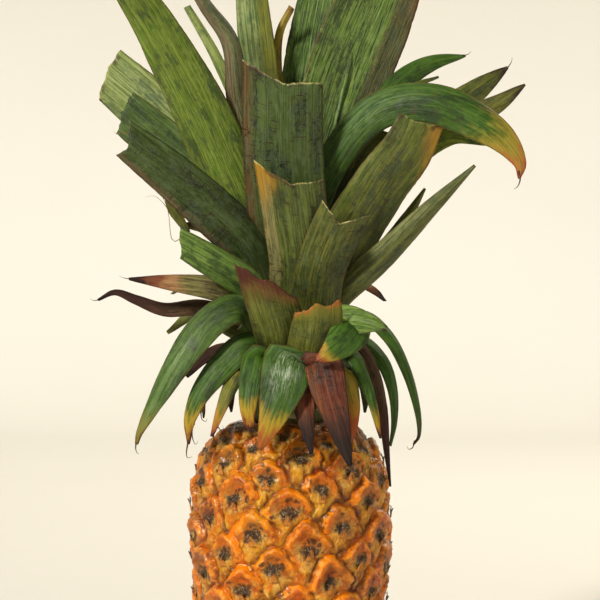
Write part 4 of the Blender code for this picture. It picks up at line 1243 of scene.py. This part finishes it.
@dataclass
class Crown:
    """The crown's stem and every leaf on it."""

    form: FruitForm
    stem: tuple[tuple[float, float], ...] = (
        (7.5, 246.0), (10.0, 228.0), (14.0, 206.0), (17.5, 186.0), (20.0, 168.0), (21.0, 156.0), (20.0, 150.3),
    )
    edge_thick: float = 0.5
    middle_thick: float = 1.5
    section_length: float = 1.9
    column_width: float = 1.3
    taper: float = 0.35
    wave_length: float = 16.0
    wave_height: float = 0.10
    rib_height: float = 0.10
    rib_rate: float = 2.4
    notch_depth: float = 0.03
    slant_from: float = 0.6
    torn_from: float = 0.86
    clearance: float = 5.6
    shoulder: float = 9.0
    first_azimuth: float = 22.0
    tiers: tuple[BackTier, ...] = (
        BackTier("back_low", 8, 72.0, 158.0, 1.4, 76.0, 92.0, 66.0, 20.0, 0.06),
        BackTier("back_mid", 6, 46.0, 186.0, 2.0, 58.0, 50.0, 90.0, 19.0, 0.10),
        BackTier("back_high", 6, 62.0, 208.0, 3.0, 33.0, 16.0, 140.0, 26.0, 0.72),
    )
    sheath_count: int = 46
    sheath_low: float = 151.0
    sheath_climb: float = 1.1
    sheath_seed: int = 900
    sheath_number: int = 200
    sheath_finish: LeafFinish = replace(
        OLIVE, name="leaf_sheath", base=rgb(112, 116, 56), light=rgb(160, 152, 92), dark=rgb(60, 62, 24),
        turn=rgb(140, 96, 50), tip=rgb(96, 56, 32), burn=rgb(52, 30, 20), tip_start=0.90, burn_start=1.0,
        root=rgb(168, 160, 110), bloom=0.1)
    stem_columns: int = 64
    stem_finish: PaperFinish = PaperFinish("stem_skin", rgb(104, 108, 52), rgb(62, 58, 32), rgb(84, 60, 40), 0.7)
    made: dict[str, bpy.types.Material] = field(default_factory=dict)
    surface: list[np.ndarray] = field(default_factory=list)

    def build(self) -> None:
        """Builds the stem, all leaves and the stem's sheaths."""
        self.build_stem()
        for number, leaf in enumerate((*LEAVES, *self.back_leaves())):
            self.build_leaf(leaf, number)
        self.build_sheaths()

    def build_sheaths(self) -> None:
        """Builds the short leaf bases that hug the stem, as one piece."""
        shape = Shape()
        radii, heights = np.array(self.stem)[::-1].T
        for n in range(self.sheath_count):
            rng = np.random.default_rng(self.sheath_seed + n)
            azimuth = self.form.golden_deg * n
            outward = outward_at(azimuth)
            low = self.sheath_low + self.sheath_climb * n
            tall = rng.uniform(13.0, 19.0)
            flare = rng.uniform(2.0, 6.0)
            spine = []
            for t in (0.0, 0.35, 0.7, 1.0):
                radius = float(np.interp(low + tall * t, heights, radii))
                spine.append(outward * (radius - 0.6 + 1.4 * t + flare * t ** 3) + UP * (low + tall * t))
            leaf = Leaf(f"sheath_{n}", rng.uniform(13.0, 17.0), self.sheath_finish, spine, tip=0.12, fold=0.30,
                        face=azimuth, base=1.0, wide=0.3, seen=False, hugs=True)
            self.add_leaf(leaf, self.sheath_number + n, shape)
        shape.settle("stem_sheaths", self.sheath_finish.material(), Node.CROWN)

    def build_stem(self) -> None:
        """Builds the stem, mostly hidden by the leaf bases."""
        rings, _ = even(np.array(self.stem), 48)
        rings = np.vstack([(0.3, self.stem[0][1]), rings, (0.3, self.stem[-1][1])])
        points, faces = turned(rings, self.stem_columns)
        turn = np.linspace(0.0, 2 * math.pi, self.stem_columns, endpoint=False)
        across = np.tile(np.cos(turn * 9), len(rings))
        along = np.repeat(np.linspace(0.6, 0.0, len(rings)), self.stem_columns)
        shape = Shape()
        shape.add(points, faces, blade=np.column_stack([across, along, np.zeros(len(points))]))
        shape.settle("crown_stem", self.stem_finish.material(), Node.CROWN)

    def back_leaves(self) -> list[Leaf]:
        """The leaves that the photo hides.

        Returns:
            The leaves, tier by tier.
        """
        made = []
        step = 0
        for tier in self.tiers:
            placed = 0
            while placed < tier.count:
                azimuth = (self.first_azimuth + self.form.golden_deg * step) % 360.0
                step += 1
                if abs(azimuth - 90.0) <= tier.sector:
                    made.append(self.back_leaf(tier, placed, azimuth, np.random.default_rng(step)))
                    placed += 1
        return made

    @staticmethod
    def back_leaf(tier: BackTier, placed: int, azimuth: float, rng: np.random.Generator) -> Leaf:
        """One leaf that the photo hides.

        Args:
            tier: its tier.
            placed: its place in the tier.
            azimuth: where it stands round the stem, in degrees.
            rng: the source of its small differences.

        Returns:
            The leaf.
        """
        outward = outward_at(azimuth)
        reach = tier.length * rng.uniform(0.86, 1.1)
        point = outward * 12.0 + UP * (tier.low + tier.climb * placed)
        spine = [point]
        for k in range(5):
            angle = math.radians(tier.lean - 0.5 * tier.droop + tier.droop * k / 2.5 + rng.uniform(-4.0, 4.0))
            point = point + (outward * math.sin(angle) + UP * math.cos(angle)) * reach / 5
            spine.append(point)
        cut_off = tier.tip > CUT_OFF
        end = (rng.uniform(-4, 4), 0.0, rng.uniform(-4, 4)) if cut_off else (0.0, 0.0, 0.0)
        width = tier.width * rng.uniform(0.85, 1.1)
        finish = (BACK, RIPE, BLUE, DRY)[2 * (placed % 2) if cut_off else placed % 4]
        return Leaf(f"{tier.name}_{placed}", width, finish, spine, tip=tier.tip, fold=0.3, face=azimuth, end=end,
                    base=1.0, seen=False)

    @staticmethod
    def to_scale(spine: np.ndarray) -> np.ndarray:
        """A spine read off the photo, brought to scale for its depth.

        Args:
            spine: its points as they appear in the plane of the object's middle, with their depth as y.

        Returns:
            Its points in space.
        """
        near = (VIEW_DISTANCE + spine[:, 1]) / VIEW_DISTANCE
        x, z = VIEW_CENTRE
        return np.column_stack([x + (spine[:, 0] - x) * near, spine[:, 1], z + (spine[:, 2] - z) * near])

    def kept_clear(self, place: np.ndarray) -> np.ndarray:
        """Keeps a leaf clear of the fruit's shoulder.

        Args:
            place: a point of the leaf.

        Returns:
            The same point, moved outward where it must be.
        """
        over = (place[2] - self.form.top) / self.shoulder
        if over >= 1.0:
            return place
        bulge = math.sqrt(1.0 - over * over) if over > 0.0 else 1.0
        needed = (float(self.form.radius(place[2])) + self.clearance) * bulge
        radius = math.hypot(place[0], place[1])
        if radius >= needed:
            return place
        return np.array((place[0] * needed / radius, place[1] * needed / radius, place[2]))

    @staticmethod
    def share(leaf: Leaf, t: float) -> float:
        """How wide a blade is.

        Args:
            leaf: the leaf.
            t: how far along it, from 0 to 1.

        Returns:
            The width there as a share of its widest.
        """
        if t < leaf.wide:
            s = t / leaf.wide
            return leaf.base + (1.0 - leaf.base) * s * s * (3 - 2 * s)
        s = (t - leaf.wide) / (1.0 - leaf.wide)
        power = 1.6 if leaf.tip < CUT_OFF and leaf.wide < 0.6 else 2.2
        return leaf.tip + (1.0 - leaf.tip) * (1.0 - s ** power)

    def build_leaf(self, leaf: Leaf, number: int) -> None:
        """Builds one leaf as a piece.

        Args:
            leaf: the leaf.
            number: its place in the list, which seeds its small differences.
        """
        shape = Shape()
        self.add_leaf(leaf, number, shape)
        self.surface.append(np.array(shape.points))
        key = leaf.finish.name
        if key not in self.made:
            self.made[key] = leaf.finish.material()
        shape.settle(f"leaf_{leaf.name}", self.made[key], Node.CROWN)

    def add_leaf(self, leaf: Leaf, number: int, shape: Shape) -> None:
        """Shapes one leaf as a fine closed blade.

        Args:
            leaf: the leaf.
            number: its place in the list, which seeds its small differences.
            shape: the piece that it is added to.
        """
        spine = np.array(leaf.spine, float)
        curve = spline(self.to_scale(spine) if leaf.seen else spine)
        rough_length = float(np.linalg.norm(np.diff(curve, axis=0), axis=1).sum())
        sections = int(np.clip(rough_length / self.section_length, 16, 96))
        columns = int(np.clip(leaf.width / self.column_width, 8, 30)) | 1
        centres, length = even(curve, sections)
        turn, lift = math.radians(leaf.face), math.radians(leaf.rise)
        toward = (math.cos(turn) * math.cos(lift), math.sin(turn) * math.cos(lift), math.sin(lift))
        across = np.linspace(-1.0, 1.0, columns)
        seed = (number * 0.61803) % 1.0
        points, blade, places = [], [], []
        for k, (centre, (along, side, normal)) in enumerate(zip(centres, axes_along(centres, toward))):
            t = k / sections
            half = max(leaf.width * self.share(leaf, t) / 2, 0.5)
            thinner = 1.0 - self.taper * t
            slant, tear = (max(0.0, (t - start) / (1.0 - start)) for start in (self.slant_from, self.torn_from))
            front, back = [], []
            for u in across:
                bend = leaf.fold * thinner * half * (1.0 - abs(u) ** 1.5)
                wave = noise.noise((t * length / self.wave_length, u * 1.5, number * 3.7))
                wavy = wave * self.wave_height * half * u * u * min(1.0, 4 * t)
                rib = self.rib_height * math.sin(u * half * self.rib_rate + 2.0 * seed)
                reach = np.interp(u, (-1.0, 0.0, 1.0), leaf.end) * slant
                if leaf.tip > CUT_OFF:
                    reach += leaf.ragged * self.torn(u * half, number) * tear
                nick = max(0.0, noise.noise((t * length / 2.2, u * 0.2, number)))
                notch = 1.0 - self.notch_depth * nick * abs(u) ** 6
                place = centre + side * half * u * notch + normal * (bend + wavy + rib) + along * reach
                place = place if leaf.hugs else self.kept_clear(place)
                deep = max(self.edge_thick, self.middle_thick * thinner * (1.0 - 0.65 * abs(u))) / 2
                front.append(place + normal * deep)
                back.append(place - normal * deep)
            points += front + back[::-1]
            for u in (*across, *across[::-1]):
                blade.append((u, t, seed))
                places.append((u * half, t * length, 0.0))
        ring = 2 * columns
        last = sections * ring
        faces = loop_quads(sections + 1, ring)
        for j in range(columns - 1):
            mirror = ring - 1 - j
            faces.append((j, j + 1, mirror - 1, mirror))
            faces.append((last + j, last + mirror, last + mirror - 1, last + j + 1))
        shape.add(points, faces, blade=blade, place=places)

    @staticmethod
    def torn(aside: float, number: int) -> float:
        """How far a torn end reaches out at a distance from the leaf's middle, as a share of its raggedness."""
        broad = noise.noise((aside * 0.16, number * 5.1, 0.0))
        return 1.6 * (broad + 0.35 * noise.noise((aside * 0.5, 9.0, number)) - 0.5)


@dataclass
class Threads:
    """Thin dry threads: hooked leaf ends and loose fibres, each tapering to nothing and starting on a leaf."""

    crown: Crown
    dark: PaperFinish = PaperFinish("hook_threads", rgb(70, 42, 28), rgb(40, 24, 18), rgb(30, 18, 14), 0.7)
    straw: PaperFinish = PaperFinish("straw_threads", rgb(140, 112, 60), rgb(96, 70, 36), rgb(80, 52, 28), 0.7)
    hooks: tuple[tuple[float, tuple[Point, ...]], ...] = (
        (1.0, ((-53, -42, 140), (-54, -42.5, 134), (-53.5, -42.5, 131), (-51, -42.5, 131.5))),
        (0.8, ((-51, -42, 146), (-50.5, -43, 141), (-49, -43.5, 138), (-47.5, -43.5, 140))),
        (0.8, ((-47, -41, 156), (-46.5, -42.5, 151), (-44.5, -43, 149.5), (-43.6, -43, 151))),
        (0.8, ((-40.5, -46, 143), (-40, -46.8, 138.5), (-38, -47, 137), (-36.8, -47, 139.5))),
        (0.6, ((-37.5, -46, 148), (-35.5, -47.5, 145.5), (-34.5, -47.8, 146.5), (-35, -47.8, 148.5))),
        (1.0, ((-80, -46, 140), (-80.5, -46, 136), (-79.8, -46, 133.5), (-78.8, -46, 133))),
        (1.2, ((119, -46, 280), (119.6, -46, 275.5), (118.4, -46, 272), (116.4, -46, 270.5))),
        (0.9, ((64, -10, 140), (63, -10.5, 136.5), (61, -11, 135.5), (60, -11, 137))),
        (0.7, ((90, 25, 340), (92, 25.5, 340.5), (93.5, 26, 341.2), (94.5, 26, 342.5))),
        (0.7, ((-98, -5.4, 213.5), (-101, -5, 212.8), (-103, -5, 212.9), (-104, -5, 213.8))),
        (0.6, ((-83, -22, 224), (-86, -22, 224.2), (-88.5, -22, 224.8), (-90, -22, 226))),
        (0.8, ((112, 37, 333), (114, 38, 335.5), (115, 38.5, 337.5), (115.2, 38.5, 339.5))),
        (0.7, ((-22, -54.5, 148), (-21.5, -56, 144.5), (-20.3, -56.4, 142.8), (-19.2, -56.2, 143.6))),
        (0.7, ((-19, -54.5, 147), (-18, -56, 144), (-17, -56.4, 143.2), (-16.4, -56.2, 144.8))),
    )
    fibres: tuple[tuple[float, tuple[Point, ...]], ...] = (
        (0.5, ((-52, -33, 244), (-60, -33, 240), (-62.5, -33, 256), (-68, -33, 268), (-73, -33, 276))),
        (0.4, ((-63, -33, 258), (-67, -33, 263), (-71, -33, 266), (-76, -33, 265.5))),
        (0.5, ((-58, -31, 252), (-55, -31, 249), (-52.5, -31, 246), (-50, -30, 240))),
        (0.5, ((-90, -44, 300), (-93, -44, 301), (-96, -44, 300), (-98, -44, 302))),
    )
    spans: int = 18
    sides: int = 6

    def build(self) -> None:
        """Builds the hooks as one piece and the fibres as another."""
        for name, finish, lines in (("hooked_ends", self.dark, self.hooks), ("loose_fibres", self.straw, self.fibres)):
            shape = Shape()
            for number, (thick, line) in enumerate(lines):
                self.add(thick / 2, line, number, shape)
            shape.settle(name, finish.material(), Node.CROWN)

    def add(self, radius: float, line: tuple[Point, ...], number: int, shape: Shape) -> None:
        """Adds one thread, moved so that it starts on the nearest leaf.

        Args:
            radius: its radius where it starts.
            line: the points that it passes through, as they appear from the camera.
            number: its place in the list, which seeds its colour.
            shape: the piece that it is added to.
        """
        route = self.crown.to_scale(np.array(line, float))
        surface = np.vstack(self.crown.surface)
        nearest = surface[np.argmin(np.linalg.norm(surface - route[0], axis=1))]
        centres, _ = even(spline(route + nearest - route[0], 12), self.spans)
        axes = [(side, normal) for _, side, normal in axes_along(centres, (0.0, -1.0, 0.0))]
        radii = [radius * (1.0 - 0.85 * i / self.spans) for i in range(self.spans + 1)]
        points, faces = tube(centres, axes, radii, self.sides)
        blade = [(0.0, 0.6 * i / self.spans, number * 0.37) for i in range(self.spans + 1) for _ in range(self.sides)]
        shape.add(points, faces, blade=blade)


@dataclass
class Studio:
    """A pale floor that curves up behind the object, soft lights and the camera, all in metres."""

    distance: float = VIEW_DISTANCE * MM
    centre: tuple[float, float] = (VIEW_CENTRE[0] * MM, VIEW_CENTRE[1] * MM)
    field_width: float = 0.312
    sensor: float = 36.0
    pale: Colour = rgb(230, 226, 216)
    shade: Colour = rgb(226, 222, 212)
    sunny: tuple[float, float, float] = (1.0, 0.97, 0.90)
    warm: tuple[float, float, float] = (1.0, 0.92, 0.78)

    def build(self) -> None:
        """Builds the floor, the lights, the world and the camera."""
        self.build_floor()
        self.add_lamp("key_light", "SUN", (-0.95, -1.0, 1.1), angle=0.2, energy=3.5, color=self.sunny)
        self.add_lamp("fill_light", "AREA", (1.1, -0.9, 0.5), size=1.0, energy=3.5, color=self.warm)
        self.add_lamp("back_light", "AREA", (0.7, 1.1, 1.6), size=0.9, energy=14.0, color=self.warm)
        self.build_world()
        bpy.context.scene.view_settings.view_transform = "Standard"
        lens = bpy.data.cameras.new("camera")
        lens.sensor_width = self.sensor
        lens.lens = self.sensor * self.distance / self.field_width
        camera = bpy.data.objects.new("camera", lens)
        camera.location = (self.centre[0], -self.distance, self.centre[1])
        camera.rotation_euler = (math.radians(90.0), 0.0, 0.0)
        bpy.context.scene.collection.objects.link(camera)
        bpy.context.scene.camera = camera

    def build_world(self) -> None:
        """Builds the soft light from all round, with a paler backdrop where it is seen directly."""
        world = bpy.data.worlds.new("soft_world")
        world.use_nodes = True
        nodes, links = world.node_tree.nodes, world.node_tree.links
        soft, pale = nodes["Background"], nodes.new("ShaderNodeBackground")
        for made, colour, strength in ((soft, (1.0, 0.96, 0.89, 1.0), 0.15), (pale, (1.0, 0.97, 0.92, 1.0), 0.70)):
            made.inputs["Color"].default_value = colour
            made.inputs["Strength"].default_value = strength
        either = nodes.new("ShaderNodeMixShader")
        links.new(nodes.new("ShaderNodeLightPath").outputs["Is Camera Ray"], either.inputs[0])
        links.new(soft.outputs[0], either.inputs[1])
        links.new(pale.outputs[0], either.inputs[2])
        links.new(either.outputs[0], nodes["World Output"].inputs["Surface"])
        bpy.context.scene.world = world

    def build_floor(self) -> None:
        """Builds the floor with a wide bend up into a back wall."""
        bend = [(2.0 + 0.8 * math.sin(a), 0.8 - 0.8 * math.cos(a)) for a in np.linspace(0.0, math.pi / 2, 25)]
        line = [(-4.0, 0.0), (0.0, 0.0), *bend, (2.8, 3.5)]
        shape = Shape()
        shape.add([np.array((x, y, z)) / MM for y, z in line for x in (-4.0, 4.0)],
                  [(2 * i, 2 * i + 1, 2 * i + 3, 2 * i + 2) for i in range(len(line) - 1)])
        shader = Shader("pale_floor")
        place = shader.node("ShaderNodeTexCoord", {}, {}, "Object")
        colour = shader.mix(self.pale, self.shade, shader.noise(place, 3.0))
        floor = shape.piece("floor", shader.dress(colour, 0.8, None, 0.0))

    def add_lamp(self, name: str, kind: str, place: Point, **settings: float | tuple[float, float, float]) -> None:
        """Adds a soft lamp that faces the object.

        Args:
            name: the lamp's name.
            kind: SUN for an even light from afar, AREA for a square of light.
            place: where it stands, in metres.
            settings: the lamp's own properties.
        """
        light = bpy.data.lights.new(name, kind)
        for key, value in settings.items():
            setattr(light, key, value)
        made = bpy.data.objects.new(name, light)
        made.location = place
        toward = Vector((0.0, 0.0, self.centre[1])) - Vector(place)
        made.rotation_euler = toward.to_track_quat("-Z", "Y").to_euler()
        bpy.context.scene.collection.objects.link(made)


def main() -> None:
    """Builds every part of the scene in order."""
    logging.basicConfig(level=logging.INFO, format="%(message)s")
    form = FruitForm()
    crown = Crown(form)
    for part in (Fruit(form), Bracts(form), FlowerRemains(form), crown, Threads(crown), Studio()):
        part.build()
        log.info("built %s", type(part).__name__)


if __name__ == "__main__":
    main()
